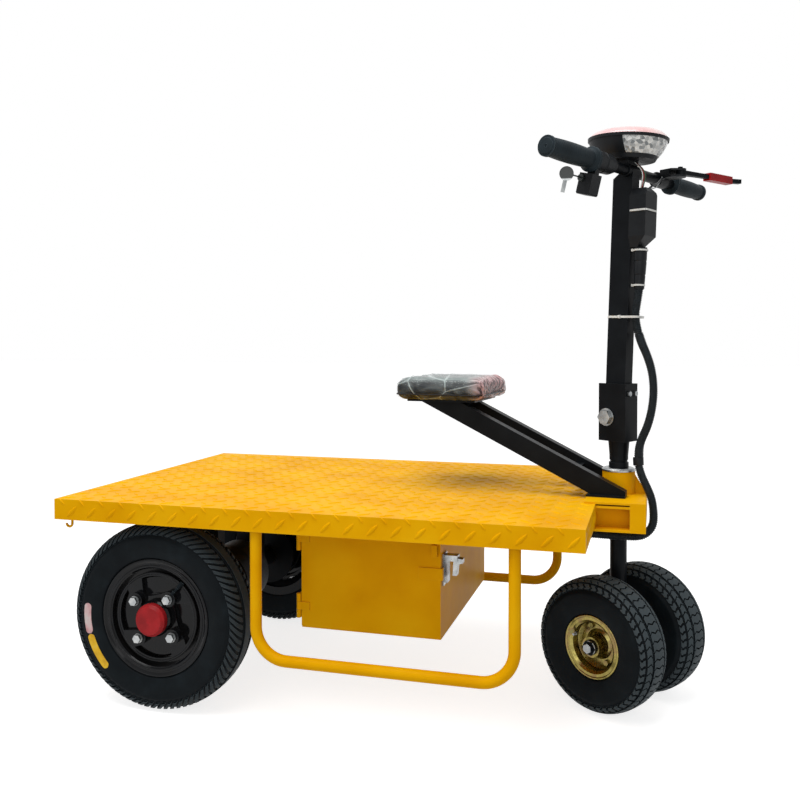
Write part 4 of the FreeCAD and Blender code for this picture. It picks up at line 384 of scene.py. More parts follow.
# %% [markdown]
# The caps, housings and sleeves are moulded, and a mould leaves its own fine grain: about a
# millimetre on the hard plastics, two on the soft sleeve.
# %% Moulded plastics: red cap, black housings, red lever sleeve
for name, slot_name, stops, roughness, grain, depth in (
        ("satin_red_abs", "red_plastic", ((0.3, "#8F1A1E"), (0.7, "#B02428")), 0.42, 900, 0.0002),
        ("grained_black_abs", "black_plastic", ((0.3, "#0E1013"), (0.7, "#171A1D")), 0.45, 1400, 0.0003),
        ("soft_red_vinyl", "red_sleeve", ((0.3, "#8E1216"), (0.7, "#B81D20")), 0.34, 500, 0.0002)):
    finishes[slot_name] = clouded_finish(name, stops, (40, 3), roughness,
                                         (0.25, depth, "TexVoronoi", {"Scale": grain}),
                                         IOR=1.46, Specular_IOR_Level=0.18)
    print(name, "grain of", round(1000 / grain, 1), "mm")

# %% [markdown]
# Zinc plating is bluish silver with a cloudy spangle; the front rims' plating is passivated
# yellow, which drifts between straw, brown and green like a film of oil.
# %% Plated and bare metals
straw_and_green = ((0.3, "#635A30"), (0.48, "#968A4E"), (0.6, "#86704A"), (0.74, "#747C4E"))
for name, slot_name, stops, roughness in (
        ("bright_zinc_plate", "zinc_steel", ((0.3, "#7D8184"), (0.55, "#9FA2A3"), (0.75, "#BDBEBC")), 0.28),
        ("yellow_passivated_zinc", "gold_zinc", straw_and_green, 0.2),
        ("ground_bearing_steel", "bearing_steel", ((0.3, "#8F9194"), (0.7, "#B5B6B8")), 0.25),
        ("sand_cast_aluminium", "cast_alloy", ((0.3, "#26282A"), (0.7, "#3A3C3E")), 0.55)):
    # Their corners take a grey-brown by ambient occlusion: painted shade on the bright metals, dust on the
    # dark cast aluminium.
    metal, tree, shader, place = coated(name, stops, (45, 4), roughness, None, ("#4A4238", 0.5), 1.0)
    spangle = in_relief(tree, place, shader, 0.08, 0.0005, "TexVoronoi", {"Scale": 260})
    add_node(tree, "MapRange", {"To Min": roughness - 0.07, "To Max": roughness + 0.14},
             {"Value": spangle}, shader.inputs["Roughness"])
    finishes[slot_name] = metal
    print(name, "ready")

# %% [markdown]
# Tyre rubber is never quite black: it is a dark blue-grey. Its raised faces are painted a
# paler grey as a highlight, which an attribute on the tyres' points, lug_height, tells the
# material. Grips are softer and ribbed across, and the loom's sleeve is a waxy nylon.
# %% Rubber and nylon
for name, slot_name, stops, roughness, grain, depth in (
        ("moulded_tyre_rubber", "tyre_rubber", ((0.3, "#0C1013"), (0.55, "#12171A"), (0.8, "#1B2226")),
         0.52, 700, 0.0004),
        ("ribbed_grip_rubber", "grip_rubber", ((0.3, "#1E2529"), (0.7, "#2C353A")), 0.5, 800, 0.0003),
        ("waxy_loom_nylon", "cable_sheath", ((0.3, "#0D0F11"), (0.7, "#181B1E")), 0.38, 600, 0.0002)):
    rubber, tree, shader, place = new_finish(name, stops[0][1], roughness, IOR=1.52,
                                             Specular_IOR_Level=0.06)
    coat = mottled(tree, place, 24, 6, stops)
    # On the tyres the raised faces are painted paler, a painted highlight.
    if slot_name == "tyre_rubber":
        height = add_node(tree, "Attribute", attribute_name="lug_height")
        coat = painted_over(tree, coat, "#4F585C", height.outputs["Fac"], 0.55, 1.0, 0.75)
    coat = edge_wear_and_painted_highlight(tree, coat, "#6A757B", 0.0012, 0.6)
    tree.links.new(coat, shader.inputs["Base Color"])
    if slot_name == "grip_rubber":
        squared = add_node(tree, "Mapping", {"Rotation": (0, 0, STEER_TURN)}, {"Vector": place})
        pores = in_relief(tree, squared.outputs[0], shader, 0.3, depth, "TexWave",
                          {"Scale": 55, "Distortion": 0.6}, bands_direction="Y")
    else:
        pores = in_relief(tree, place, shader, 0.3, depth, "TexNoise", {"Scale": grain, "Detail": 3})
    add_node(tree, "MapRange", {"To Min": roughness - 0.12, "To Max": roughness + 0.15}, {"Value": pores},
             shader.inputs["Roughness"])
    finishes[slot_name] = rubber
    print(name, "ready")

# %% [markdown]
# The seat's vinyl has a leather grain of about two millimetres. The lamp's lens is clear
# polycarbonate over a faceted reflector: the reflector's seven-millimetre cells, light and dark,
# are painted on the lens itself as painted reflections. Its top still wears a pinkish film.
# %% Vinyl, clear lens and protective film
finishes["seat_vinyl"] = clouded_finish(
    "grained_black_vinyl", ((0.3, "#121316"), (0.75, "#202226")), (14, 4), 0.4,
    (0.5, 0.0006, "TexVoronoi", {"Scale": 480}), {"feature": "DISTANCE_TO_EDGE"},
    IOR=1.5, Specular_IOR_Level=0.18)
finishes["tinted_film"] = clouded_finish(
    "pinkish_cover_film", ((0.3, "#D9A3A5"), (0.55, "#EBC4C2"), (0.75, "#F3DEDC")), (20, 4), 0.2,
    (0.5, 0.002, "TexNoise", {"Scale": 60, "Detail": 3, "Distortion": 1.5}),
    IOR=1.48, Coat_Weight=0.6, Coat_Roughness=0.1)
lens, tree, shader, place = new_finish("clear_polycarbonate_with_painted_reflections", "#B9C0C2", 0.1, IOR=1.58,
                                       Coat_Weight=0.5, Coat_Roughness=0.04)
# The cells' light and dark tones are painted reflections of the reflector.
painted_reflector_cells = add_node(tree, "TexVoronoi", {"Scale": 150}, {"Vector": place})
tone = add_node(tree, "ValToRGB", None, {"Fac": painted_reflector_cells.outputs["Color"]},
                shader.inputs["Base Color"])
for stop, (position, colour) in zip(tone.color_ramp.elements, ((0.2, "#6C7274"), (0.8, "#F1F2EF"))):
    stop.position = position
    stop.color = linear(colour)
add_node(tree, "Bump", {"Strength": 0.7, "Distance": 0.002},
         {"Height": painted_reflector_cells.outputs["Distance"]}, shader.inputs["Normal"])
finishes["clear_lens"] = lens
print("lens, vinyl and film ready")

# %% [markdown]
# The ignition key is one solid: a nickel blade that hangs from a dark moulded bow, so its
# finish changes with height, from metal below to plastic above.
# %% Key: nickel blade and dark bow
BOW_FROM, BOW_TO = 1.045, 1.047
key, tree, shader, place = new_finish("nickel_blade_and_moulded_bow", "#8F9394", 0.3)
axes = add_node(tree, "SeparateXYZ", None, {0: place})
nickel = mottled(tree, place, 90, 2, ((0.3, "#8A8E8F"), (0.7, "#B9BCBB")))
tone = painted_over(tree, nickel, "#1B2422", axes.outputs["Z"], BOW_FROM, BOW_TO, 1.0)
tree.links.new(tone, shader.inputs["Base Color"])
add_node(tree, "MapRange", {"From Min": BOW_FROM, "From Max": BOW_TO, "To Min": 1.0, "To Max": 0.0},
         {"Value": axes.outputs["Z"]}, shader.inputs["Metallic"])
in_relief(tree, place, shader, 0.15, 0.0003, "TexNoise", {"Scale": 700})
print("key:", len(tree.nodes), "nodes")

# %% Dress the solids in their finishes
for part in frame["record"]["subparts"]:
    solid = bpy.data.objects[part["node"]]
    solid.data.materials.clear()
    solid.data.materials.append(finishes[part["material_slot"]])
bpy.data.objects["ignition_key"].data.materials[0] = key
for tube in looms:
    tube.data.materials.append(finishes["cable_sheath"])

# %% [markdown]
# The deck is tread plate: rolled sheet with lens-shaped lugs, pointed at both ends, that
# stand in two families at right angles, half a pitch apart. Drawing them as a bump map
# would leave the plate's outline flat, so each lug is real. One is shaped from half a
# squashed ball, and Array modifiers lay out each family in a few dozen faces a lug.
# %% Modelling helpers
def nothing_selected():
    if bpy.context.object and bpy.context.object.mode != "OBJECT":
        bpy.ops.object.mode_set(mode="OBJECT")
    bpy.ops.object.select_all(action="DESELECT")


def primitive(kind, name=None, **sizes):
    """A new plain mesh, the only thing selected."""
    nothing_selected()
    getattr(bpy.ops.mesh, "primitive_" + kind + "_add")(**sizes)
    shape = bpy.context.object
    shape.name = name or shape.name
    return shape


def select_only(*pieces):
    nothing_selected()
    for piece in pieces:
        piece.select_set(True)
    bpy.context.view_layer.objects.active = pieces[0]


def placed(piece, spot):
    """Moves a piece's mesh by a matrix, and leaves its object at the origin."""
    piece.data.transform(spot)
    if spot.determinant() < 0:
        piece.data.flip_normals()
    piece.data.update()


def joined(name, pieces):
    """Several pieces of one finish as one mesh."""
    select_only(*pieces)
    if len(pieces) > 1:
        bpy.ops.object.join()
    whole = bpy.context.object
    whole.name = name
    whole.data.name = name
    return whole


def edit_mode(selected="SELECT", kind="VERT"):
    """Goes into edit mode with all of a piece selected, or none of it."""
    bpy.ops.object.mode_set(mode="EDIT")
    bpy.ops.mesh.select_mode(type=kind)
    bpy.ops.mesh.select_all(action=selected)


def object_mode(crease=None):
    """Leaves edit mode, and smooths faces that meet at less than an angle in degrees."""
    bpy.ops.object.mode_set(mode="OBJECT")
    if crease:
        bpy.ops.object.shade_smooth_by_angle(angle=math.radians(crease))


def healed(merge, crease=None):
    """Merges a piece's doubled points, turns its faces outwards and leaves edit mode."""
    edit_mode()
    bpy.ops.mesh.remove_doubles(threshold=merge)
    bpy.ops.mesh.normals_make_consistent(inside=False)
    object_mode(crease)


def choose_faces(piece, wanted):
    """Goes into edit mode with the faces selected that a test picks."""
    edit_mode("DESELECT", "FACE")
    object_mode()
    for face in piece.data.polygons:
        face.select = wanted(face)
    bpy.ops.object.mode_set(mode="EDIT")


def finished_with(piece, kind, **settings):
    """Adds a modifier with its settings, and applies it."""
    modifier = piece.modifiers.new(kind.lower(), kind)
    for name, value in settings.items():
        setattr(modifier, name, value)
    select_only(piece)
    bpy.ops.object.modifier_apply(modifier=modifier.name)


def on_cart(piece, body, slot_name, finish=None, replaced=()):
    """Gives a piece its finish, by its slot's name or its own, puts it on its body, and hides the solids
    that it replaces.
    """
    piece.data.materials.clear()
    piece.data.materials.append(finish or finishes[slot_name])
    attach(piece, body)
    if replaced:
        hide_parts(*replaced)
    print(piece.name, len(piece.data.polygons), "faces on", body)


# %% One lug of the tread plate
LUG_LONG = 31 * MM
LUG_WIDE = 8 * MM


def lug(high, turn):
    """A pointed lens that lies on the XY plane, turned about Z."""
    shape = primitive("uv_sphere", segments=10, ring_count=8, radius=1)
    placed(shape, Matrix.Rotation(math.radians(90), 4, "Y"))
    edit_mode()
    bpy.ops.mesh.bisect(plane_co=(0, 0, 0), plane_no=(0, 0, 1), clear_inner=True)
    object_mode()
    for vertex in shape.data.vertices:
        vertex.co.y *= math.sqrt(max(0, 1 - vertex.co.x ** 2)) ** 0.6
    placed(shape, Matrix.Rotation(turn, 4, "Z") @ Matrix.Diagonal((LUG_LONG / 2, LUG_WIDE / 2, high, 1)))
    bpy.ops.object.shade_smooth()
    return shape


def in_rows(shape, first, step, count):
    """Repeats a shape in a row with an Array modifier."""
    placed(shape, Matrix.Translation(first))
    finished_with(shape, "ARRAY", use_relative_offset=False, use_constant_offset=True,
                  constant_offset_displace=step, count=count)


# %% Lugs on the deck's top
LUG_PITCH = 45 * MM
LUG_SINK = 0.1 * MM
LUG_HIGH = 2 * MM
EDGE_CLEAR = 18 * MM
deck_low, deck_high = (Vector(corner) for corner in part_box("deck_plate"))
families = []
for turn, shift in ((math.radians(45), 0.0), (math.radians(-45), 0.5)):
    start_x = deck_low.x + EDGE_CLEAR + shift * LUG_PITCH
    start_y = deck_low.y + EDGE_CLEAR + shift * LUG_PITCH
    along = int((deck_high.x - EDGE_CLEAR - start_x) / LUG_PITCH) + 1
    across = int((deck_high.y - EDGE_CLEAR - start_y) / LUG_PITCH) + 1
    family = lug(LUG_HIGH, turn)
    in_rows(family, (start_x, start_y, deck_high.z - LUG_SINK), (LUG_PITCH, 0, 0), along)
    in_rows(family, (0, 0, 0), (0, LUG_PITCH, 0), across)
    families.append(family)
    print("a family of", along * across, "lugs")
on_cart(joined("tread_lugs_top", families), "chassis", "yellow_paint")

# %% [markdown]
# The plate is bent down at its edges, so the same lugs run round the skirts: a full row
# at mid height, and smaller ones of the other family, cut by the bend, along the top. They
# stand less than two millimetres proud, so the cart hardly gains in width.
# %% Lugs on the skirts
SKIRT_LUG_HIGH = 1.8 * MM
UPRIGHT = Matrix.Rotation(math.radians(90), 4, "X")
mid_row = (deck_high.z - 24 * MM, 45, 0.5, 1.0)
top_row = (deck_high.z - 5.5 * MM, -45, 0.0, 0.55)
skirts = []
for origin, heading, low, high in (((0, deck_low.y, 0), 0, deck_low.x, deck_high.x),
                                   ((0, deck_high.y, 0), 180, -deck_high.x, -deck_low.x),
                                   ((deck_low.x, 0, 0), 270, deck_low.y, deck_high.y),
                                   ((deck_high.x, 0, 0), 90, deck_low.y, deck_high.y)):
    for height, turn, shift, size in (mid_row, top_row):
        row = lug(SKIRT_LUG_HIGH, math.radians(turn))
        first = low + EDGE_CLEAR + shift * LUG_PITCH
        count = int((high - EDGE_CLEAR - first) / LUG_PITCH) + 1
        placed(row, Matrix.Diagonal((size, size, 1, 1)))
        placed(row, UPRIGHT)
        in_rows(row, (first, LUG_SINK, height), (LUG_PITCH, 0, 0), count)
        placed(row, Matrix.Translation(origin) @ Matrix.Rotation(math.radians(heading), 4, "Z"))
        skirts.append(row)
on_cart(joined("tread_lugs_skirts", skirts), "chassis", "yellow_paint")

# %% [markdown]
# A pneumatic tyre is a carcass with a tread moulded on it. The tread repeats one pitch all
# round, so it is easiest to model flat: a grid as long as the tread's circumference, whose
# faces are chosen cell by cell, then inset and raised into lugs by one operator. The flat
# sheet is then wrapped round the wheel, and its outer columns become the sidewalls.
# %% The tyre's section and its flat sheet
def tyre_lines(radius, half, flange, groove, spread, tread_columns):
    """The section's points from the middle of the tread to the bead, low in the grooves and on the lugs."""
    middle = (radius + flange) / 2
    lip = half * 0.72
    lines = []
    for column in range(tread_columns + 1):
        angle = spread * column / tread_columns
        wide, tall = math.sin(angle) ** (2 / 3), math.cos(angle) ** (2 / 3)
        on_lug = (half * wide, middle + (radius - middle) * tall)
        in_groove = ((half - groove) * wide, middle + (radius - groove - middle) * tall)
        lines.append((in_groove, on_lug))
    crown = lines[-1][0]
    for share, proud in ((0.10, 0), (0.22, 0), (0.3, 0.9), (0.34, 0.9), (0.42, 0), (0.55, 0), (0.68, 0),
                         (0.8, 0), (0.84, 0.8), (0.88, 0.8), (0.92, 0), (1.0, 0)):
        angle = spread + (math.radians(90) - spread) * min(1, share / 0.45)
        if share <= 0.45:
            fade = 1 - share / 0.45
            wide = (half - 0.8 - (groove - 0.8) * fade) * math.sin(angle) ** (2 / 3)
            tall = middle + (radius - groove * fade - middle) * max(0, math.cos(angle)) ** (2 / 3)
        else:
            down = math.radians(90) * (share - 0.45) / 0.55
            wide = lip + (half - 0.8 - lip) * math.cos(down)
            tall = middle - (middle - flange) * math.sin(down)
        point = (wide + proud * 0.8, tall)
        lines.append((point, point))
    lines.append(((lip, flange - 6), (lip, flange - 6)))
    return lines


def treaded_tyre(name, lines, radius, pitches, cells, tread_columns, raised_cell, skew, dust_and_painted_light):
    """Models the tread flat, raises its lugs, and wraps the sheet round the wheel's axis, which is Y."""
    around = pitches * cells
    across = 2 * (len(lines) - 1)
    step = math.tau * radius / around
    sheet = primitive("grid", name, x_subdivisions=around, y_subdivisions=across, size=2)
    placed(sheet, Matrix.Diagonal((around * step / 2, across * step / 2, 1, 1)))

    def stands_up(face):
        cell = int(face.center.x / step + around / 2 + 0.001)
        column = int(math.floor(face.center.y / step + 0.001))
        return -tread_columns <= column < tread_columns and raised_cell(cell, column)

    choose_faces(sheet, stands_up)
    bpy.ops.mesh.inset(thickness=0.16 * step, depth=1.0, use_boundary=True)
    object_mode()
    # lug_height holds each point's lift times the strength of the painted highlight on raised faces.
    heights = sheet.data.attributes.new("lug_height", "FLOAT", "POINT")
    for vertex in sheet.data.vertices:
        lift = min(1, max(0, vertex.co.z))
        heights.data[vertex.index].value = lift * dust_and_painted_light
        column = abs(vertex.co.y) / step
        base = min(int(column), len(lines) - 2)
        share = column - base
        low = [a + (b - a) * share for a, b in zip(lines[base][0], lines[base + 1][0])]
        high = [a + (b - a) * share for a, b in zip(lines[base][1], lines[base + 1][1])]
        wide, tall = (a + (b - a) * lift for a, b in zip(low, high))
        side = math.copysign(1, vertex.co.y)
        turn = vertex.co.x / (around * step) * math.tau
        turn += skew(vertex.co.y / step, cells) * math.tau / around
        vertex.co = (tall * math.cos(turn) * MM, side * wide * MM, tall * math.sin(turn) * MM)
    healed(0.05 * MM, 32)
    return sheet


# %% [markdown]
# The rear tyres carry a directional pattern: two rows of curved shoulder lugs that sweep
# back from a narrow ribbed middle. The front tyres are smaller, with five rows of blocks
# cut by zigzag grooves.
# %% The two tread patterns
REAR_COLUMNS = 8
FRONT_COLUMNS = 10


def rear_lug(cell, column):
    """Three cells in five stand up on the shoulders; the middle is an unbroken rib."""
    reach = column + 0.5
    if abs(reach) < 1:
        return True
    if abs(reach) < 2:
        return False
    return cell % 5 in (0, 1, 2)


def rear_skew(column, cells):
    """The lugs sweep back in a curve towards the shoulders."""
    return cells * 1.9 * (min(abs(column), REAR_COLUMNS) / REAR_COLUMNS) ** 1.7


def front_block(cell, column):
    """Five rows of blocks, each row shifted by half a block, with narrow cuts between."""
    reach = abs(column + 0.5)
    row = 0 if reach < 2 else 1 if reach < 6 else 2
    if int(reach) in (2, 6):
        return False
    cuts = {0: (0,), 1: (3,), 2: (0, 1)}
    return cell % 6 not in cuts[row]


def front_skew(column, cells):
    """The rows' edges zigzag and the outer rows lean."""
    reach = min(abs(column), FRONT_COLUMNS)
    return 1.3 * math.sin(reach * 1.9) + 0.22 * reach


# %% Where the wheels turn
REAR_AXLE, REAR_TRACK, REAR_RADIUS = -461, 283, 187
FRONT_AXLE, FRONT_TRACK, FRONT_RADIUS = 10, 75, 132.5


def rear_wheel(left):
    """Places a piece on a rear wheel; left is 1 for the cart's left and -1 for its right."""
    return Matrix.Translation((REAR_AXLE * MM, left * REAR_TRACK * MM, REAR_RADIUS * MM))


def front_wheel(left, track=FRONT_TRACK):
    """Places a piece on a front wheel, turned with the steering."""
    hub = steering(FRONT_AXLE, left * track, FRONT_RADIUS)
    return Matrix.Translation(hub) @ Matrix.Rotation(-STEER_TURN, 4, "Z")


# %% Four tyres
rear_lines = tyre_lines(REAR_RADIUS, 44.5, 118, 4.2, math.radians(72), REAR_COLUMNS)
front_lines = tyre_lines(FRONT_RADIUS, 43, 63, 3.8, math.radians(70), FRONT_COLUMNS)
SIDES = (("right", -1), ("left", 1))
for side, left in SIDES:
    rear = treaded_tyre("rear_tyre_" + side + "_treaded", rear_lines, REAR_RADIUS, 78, 5, REAR_COLUMNS,
                        rear_lug, rear_skew, 0.8)
    placed(rear, rear_wheel(left))
    on_cart(rear, "rear_wheel_" + side, "tyre_rubber", None, ("rear_tyre_" + side,))
    front = treaded_tyre("front_tyre_" + side + "_treaded", front_lines, FRONT_RADIUS, 50, 6,
                         FRONT_COLUMNS, front_block, front_skew, 1.0)
    placed(front, front_wheel(left))
    on_cart(front, "front_wheel_" + side, "tyre_rubber", None, ("front_tyre_" + side,))

# %% [markdown]
# The seat is a foam pad in grained vinyl, still wrapped in the clear film that it was
# shipped in. The pad is simulated as cloth under a little air pressure, so its faces crown
# and its sides pull in between the corners. The film is a thin skin over it, drawn tight
# in diagonal folds and bunched at both ends, with rose reflections painted at the front one.
# %% The seat's own axes and its pad
SEAT_YAW = math.radians(-4.7)
SEAT_REAR = -459 * MM
SEAT_LONG, SEAT_WIDE, SEAT_THICK, SEAT_LOW = 198 * MM, 212 * MM, 44 * MM, 611 * MM
PAD_GROWTH = 4 * MM
seat_spot = (Matrix.Translation((STEER_X * MM, 0, 0)) @ Matrix.Rotation(SEAT_YAW, 4, "Z")
             @ Matrix.Translation((SEAT_REAR + SEAT_LONG / 2, 0, SEAT_LOW + SEAT_THICK / 2)))
pad = primitive("cube", "seat_pad", size=1)
placed(pad, Matrix.Diagonal((SEAT_LONG - PAD_GROWTH, SEAT_WIDE - PAD_GROWTH, SEAT_THICK - PAD_GROWTH, 1)))
finished_with(pad, "BEVEL", width=15 * MM, segments=5)
finished_with(pad, "REMESH", mode="VOXEL", voxel_size=5 * MM)
print("pad of", len(pad.data.vertices), "points")

# %% Blow the pad up a little, as foam fills its cover
SWELL_CAP = 5 * MM
before = [vertex.co.copy() for vertex in pad.data.vertices]
cloth = pad.modifiers.new("cloth", "CLOTH")
cloth.settings.use_pressure = True
cloth.settings.uniform_pressure_force = 4
cloth.settings.effector_weights.gravity = 0
scene = bpy.context.scene
for frame_number in range(1, 21):
    scene.frame_set(frame_number)
graph = bpy.context.evaluated_depsgraph_get()
blown = [vertex.co.copy() for vertex in pad.evaluated_get(graph).data.vertices]
pad.modifiers.remove(cloth)
scene.frame_set(1)
for vertex, old, new in zip(pad.data.vertices, before, blown):
    move = new - old
    if move.length > SWELL_CAP:
        move.length = SWELL_CAP
    vertex.co = old + move
    vertex.co.z = max(vertex.co.z, -SEAT_THICK / 2)
finished_with(pad, "SUBSURF", levels=1, render_levels=1)
bpy.ops.object.shade_smooth()
for vertex in pad.data.vertices:
    vertex.co.z = max(vertex.co.z, -SEAT_THICK / 2 + 0.3 * MM)
print("pad now of", len(pad.data.vertices), "points")

# %% The film over the pad
film_skin = in_scene("seat_film", pad.data.copy())
for vertex, normal in zip(film_skin.data.vertices, [v.normal.copy() for v in pad.data.vertices]):
    spot = vertex.co / MM
    end = min(1, abs(spot.x) / (SEAT_LONG / MM / 2))
    fold = noise.noise(Vector((spot.x * 0.045 + spot.z * 0.05, spot.y * 0.05, spot.x * 0.03)))
    crossing = noise.noise(Vector((spot.x * 0.02 + spot.y * 0.016 + spot.z * 0.05, 3, 7)))
    crease = 1 - min(1, abs(crossing) * 7)
    bunch = max(0, end - 0.72) * abs(math.sin(spot.y * 0.2 + spot.z * 0.25 + 2 * fold)) * 7
    vertex.co += normal * (1.0 + 0.9 * fold + 1.4 * crease + bunch) * MM
    vertex.co.z = max(vertex.co.z, -SEAT_THICK / 2 + 0.1 * MM)
placed(pad, seat_spot)
placed(film_skin, seat_spot)
print("film of", len(film_skin.data.polygons), "faces")

# %% [markdown]
# The pad's cover is closed by a welt: a thin piped seam round its lower edge. A rounded
# rectangle's outline is turned into a curve, given a round section and made a mesh again.
# %% The welt
WELT_INSET = 6 * MM
WELT_HIGH = 12 * MM
welt = primitive("plane", size=1)
placed(welt, Matrix.Diagonal((SEAT_LONG - WELT_INSET, SEAT_WIDE - WELT_INSET, 1, 1)))
edit_mode()
bpy.ops.mesh.bevel(offset=17 * MM, segments=6, affect="VERTICES")
bpy.ops.mesh.delete(type="ONLY_FACE")
object_mode()
bpy.ops.object.convert(target="CURVE")
welt = bpy.context.object
welt.data.bevel_depth = 1.5 * MM
welt.data.bevel_resolution = 2
bpy.ops.object.convert(target="MESH")
welt = bpy.context.object
welt.name = "seat_welt"
bpy.ops.object.shade_smooth()
placed(welt, seat_spot @ Matrix.Translation((0, 0, -SEAT_THICK / 2 + WELT_HIGH)))

# %% [markdown]
# Clear polyethylene film is nearly invisible where it lies flat; what the eye sees are
# white glints along its folds. So the film is mostly clear, with painted glints as milky fold
# lines, a painted highlight as milkiness on its top, and painted rose reflections at its front end.
# %% Clear shipping film
wrap, tree, shader, place = new_finish("clear_polyethylene_film", "#DDE4E4", 0.12, IOR=1.5,
                                       Specular_IOR_Level=0.3)
stretched = add_node(tree, "Mapping", {"Rotation": (0.5, 0.6, 0.7), "Scale": (1, 0.35, 1.6)},
                     {"Vector": place})
folds = add_node(tree, "TexVoronoi", {"Scale": 13}, {"Vector": stretched.outputs[0]},
                 feature="DISTANCE_TO_EDGE")
# Painted glints: the film turns milky along the fold lines.
lines = add_node(tree, "MapRange", {"From Min": 0.0, "From Max": 0.035, "To Min": 0.42, "To Max": 0.0},
                 {"Value": folds.outputs["Distance"]})
haze = add_node(tree, "TexNoise", {"Scale": 26, "Detail": 4, "Distortion": 1.5}, {"Vector": place})
veil = add_node(tree, "MapRange", {"From Min": 0.4, "From Max": 0.75, "To Min": 0.02, "To Max": 0.2},
                {"Value": haze.outputs["Fac"]})
axes = add_node(tree, "SeparateXYZ", None, {0: place})
# Painted highlight: the film turns milkier on the seat's top.
seat_top = SEAT_LOW + SEAT_THICK
crown = add_node(tree, "MapRange", {"From Min": seat_top - 0.008, "From Max": seat_top, "To Max": 0.4},
                 {"Value": axes.outputs["Z"]})
both = add_node(tree, "Math", None, {0: lines.outputs[0], 1: veil.outputs[0]}, operation="ADD")
both = add_node(tree, "Math", None, {0: both.outputs[0], 1: crown.outputs[0]}, operation="ADD")
# Painted reflections: rose stripes and a rose tint towards the front end.
ahead = add_node(tree, "Math", {1: seat_spot.translation.x}, {0: axes.outputs["X"]}, operation="SUBTRACT")
far_out = add_node(tree, "MapRange", {"From Min": 0.05, "From Max": 0.085, "To Max": 0.8},
                   {"Value": ahead.outputs[0]})
bunched = add_node(tree, "TexWave", {"Scale": 34, "Distortion": 3, "Detail": 2}, {"Vector": place},
                   bands_direction="Y")
painted_reflection_stripes = add_node(tree, "Math", None, {0: bunched.outputs["Fac"], 1: far_out.outputs[0]},
                   operation="MULTIPLY")
add_node(tree, "Math", None, {0: both.outputs[0], 1: painted_reflection_stripes.outputs[0]}, shader.inputs["Alpha"],
         operation="ADD")
painted_rose_reflection = add_node(tree, "Mix", {"A": linear("#C6D2D0"), "B": linear("#D9A0A2")},
                {"Factor": far_out.outputs[0]}, data_type="RGBA")
tree.links.new(painted_rose_reflection.outputs["Result"], shader.inputs["Base Color"])
add_node(tree, "Bump", {"Strength": 0.6, "Distance": 0.003}, {"Height": both.outputs[0]},
         shader.inputs["Normal"])

# %% The seat's pieces on the cart
on_cart(pad, "chassis", "seat_vinyl", None, ("seat_cushion",))
on_cart(welt, "chassis", "seat_vinyl")
on_cart(film_skin, "chassis", "clear_lens", wrap)

# %% [markdown]
# Behind each rear wheel's disc sits a brake drum, which is why its windows look dark. It is
# a shallow dish, so it is spun from half its section round the axle.
# %% Brake drums
def spun(name, profile, steps=48):
    """A closed profile of (radius, across) points in millimetres, spun about Y."""
    nothing_selected()
    mesh = bpy.data.meshes.new(name)
    mesh.from_pydata([(radius * MM, across * MM, 0) for radius, across in profile],
                     [(i, (i + 1) % len(profile)) for i in range(len(profile))], [])
    shape = in_scene(name, mesh)
    select_only(shape)
    edit_mode()
    bpy.ops.mesh.spin(steps=steps, angle=math.tau, center=(0, 0, 0), axis=(0, 1, 0))
    healed(0.02 * MM, 35)
    return shape


for side, left in SIDES:
    drum = spun("brake_drum_" + side,
                ((33, -19), (78, -19), (82, -16), (82, 8), (76, 8), (74, -10), (33, -13)))
    placed(drum, rear_wheel(left) @ Matrix.Diagonal((1, -left, 1, 1)))
    on_cart(drum, "rear_wheel_" + side, "black_enamel")

# %% [markdown]
# Each tyre is filled through a valve: a rubber stem that comes out of the rim and tapers
# to a threaded tip with a cap. It is a cylinder, drawn out step by step in edit mode.
# %% Valve stems
def valve(name, foot, along, long, thick, body, slot_name):
    """A tapered stem from its foot, along a direction, with a ringed cap."""
    stem = primitive("cylinder", name, vertices=16, radius=thick / 2 * MM, depth=2 * MM)
    placed(stem, Matrix.Translation((0, 0, 1 * MM)))
    choose_faces(stem, lambda face: face.normal.z > 0.9)
    for rise, taper in ((0.4, 0.8), (0.0, 0.72), (0.3, 1.0), (0.0, 1.3), (0.22, 1.0), (0.03, 0.8)):
        bpy.ops.mesh.extrude_region_move(TRANSFORM_OT_translate={"value": (0, 0, rise * long * MM)})
        bpy.ops.transform.resize(value=(taper, taper, 1))
    object_mode(35)
    direction = Vector(along).to_track_quat("Z", "Y").to_matrix().to_4x4()
    placed(stem, Matrix.Translation(foot) @ direction)
    on_cart(stem, body, slot_name)


UP_ON = math.radians(51)
STEM_RADIUS, STEM_SIDE = 94 * MM, 312.5 * MM
for side, left in SIDES:
    foot = Vector((REAR_AXLE * MM + STEM_RADIUS * math.cos(UP_ON), left * STEM_SIDE,
                   REAR_RADIUS * MM + STEM_RADIUS * math.sin(UP_ON)))
    inward = Vector((-math.cos(UP_ON), left * 0.42, -math.sin(UP_ON)))
    valve("valve_rear_" + side, foot, inward, 30, 9, "rear_wheel_" + side, "tyre_rubber")
    foot = steering(FRONT_AXLE - 40, left * (FRONT_TRACK + 24), FRONT_RADIUS + 16)
    outward = steering(FRONT_AXLE - 34, left * (FRONT_TRACK + 60), FRONT_RADIUS + 20) - foot
    valve("valve_front_" + side, foot, outward, 18, 7, "front_wheel_" + side, "zinc_steel")

# %% [markdown]
# Two blank stickers, one pale and one yellow, follow the rear right tyre's sidewall. Each
# is a flat grid bent to the sidewall's round and its bulge, a fraction of a millimetre up.
# %% Blank stickers on the sidewall
def sidewall_at(radius, lines):
    """How far out the tyre's side is at a radius, in millimetres."""
    wall = [point[1] for point in lines[REAR_COLUMNS:]]
    for (wide_a, tall_a), (wide_b, tall_b) in zip(wall, wall[1:]):
        if tall_b <= radius <= tall_a:
            return wide_b + (wide_a - wide_b) * (radius - tall_b) / (tall_a - tall_b)
    return wall[0][0]


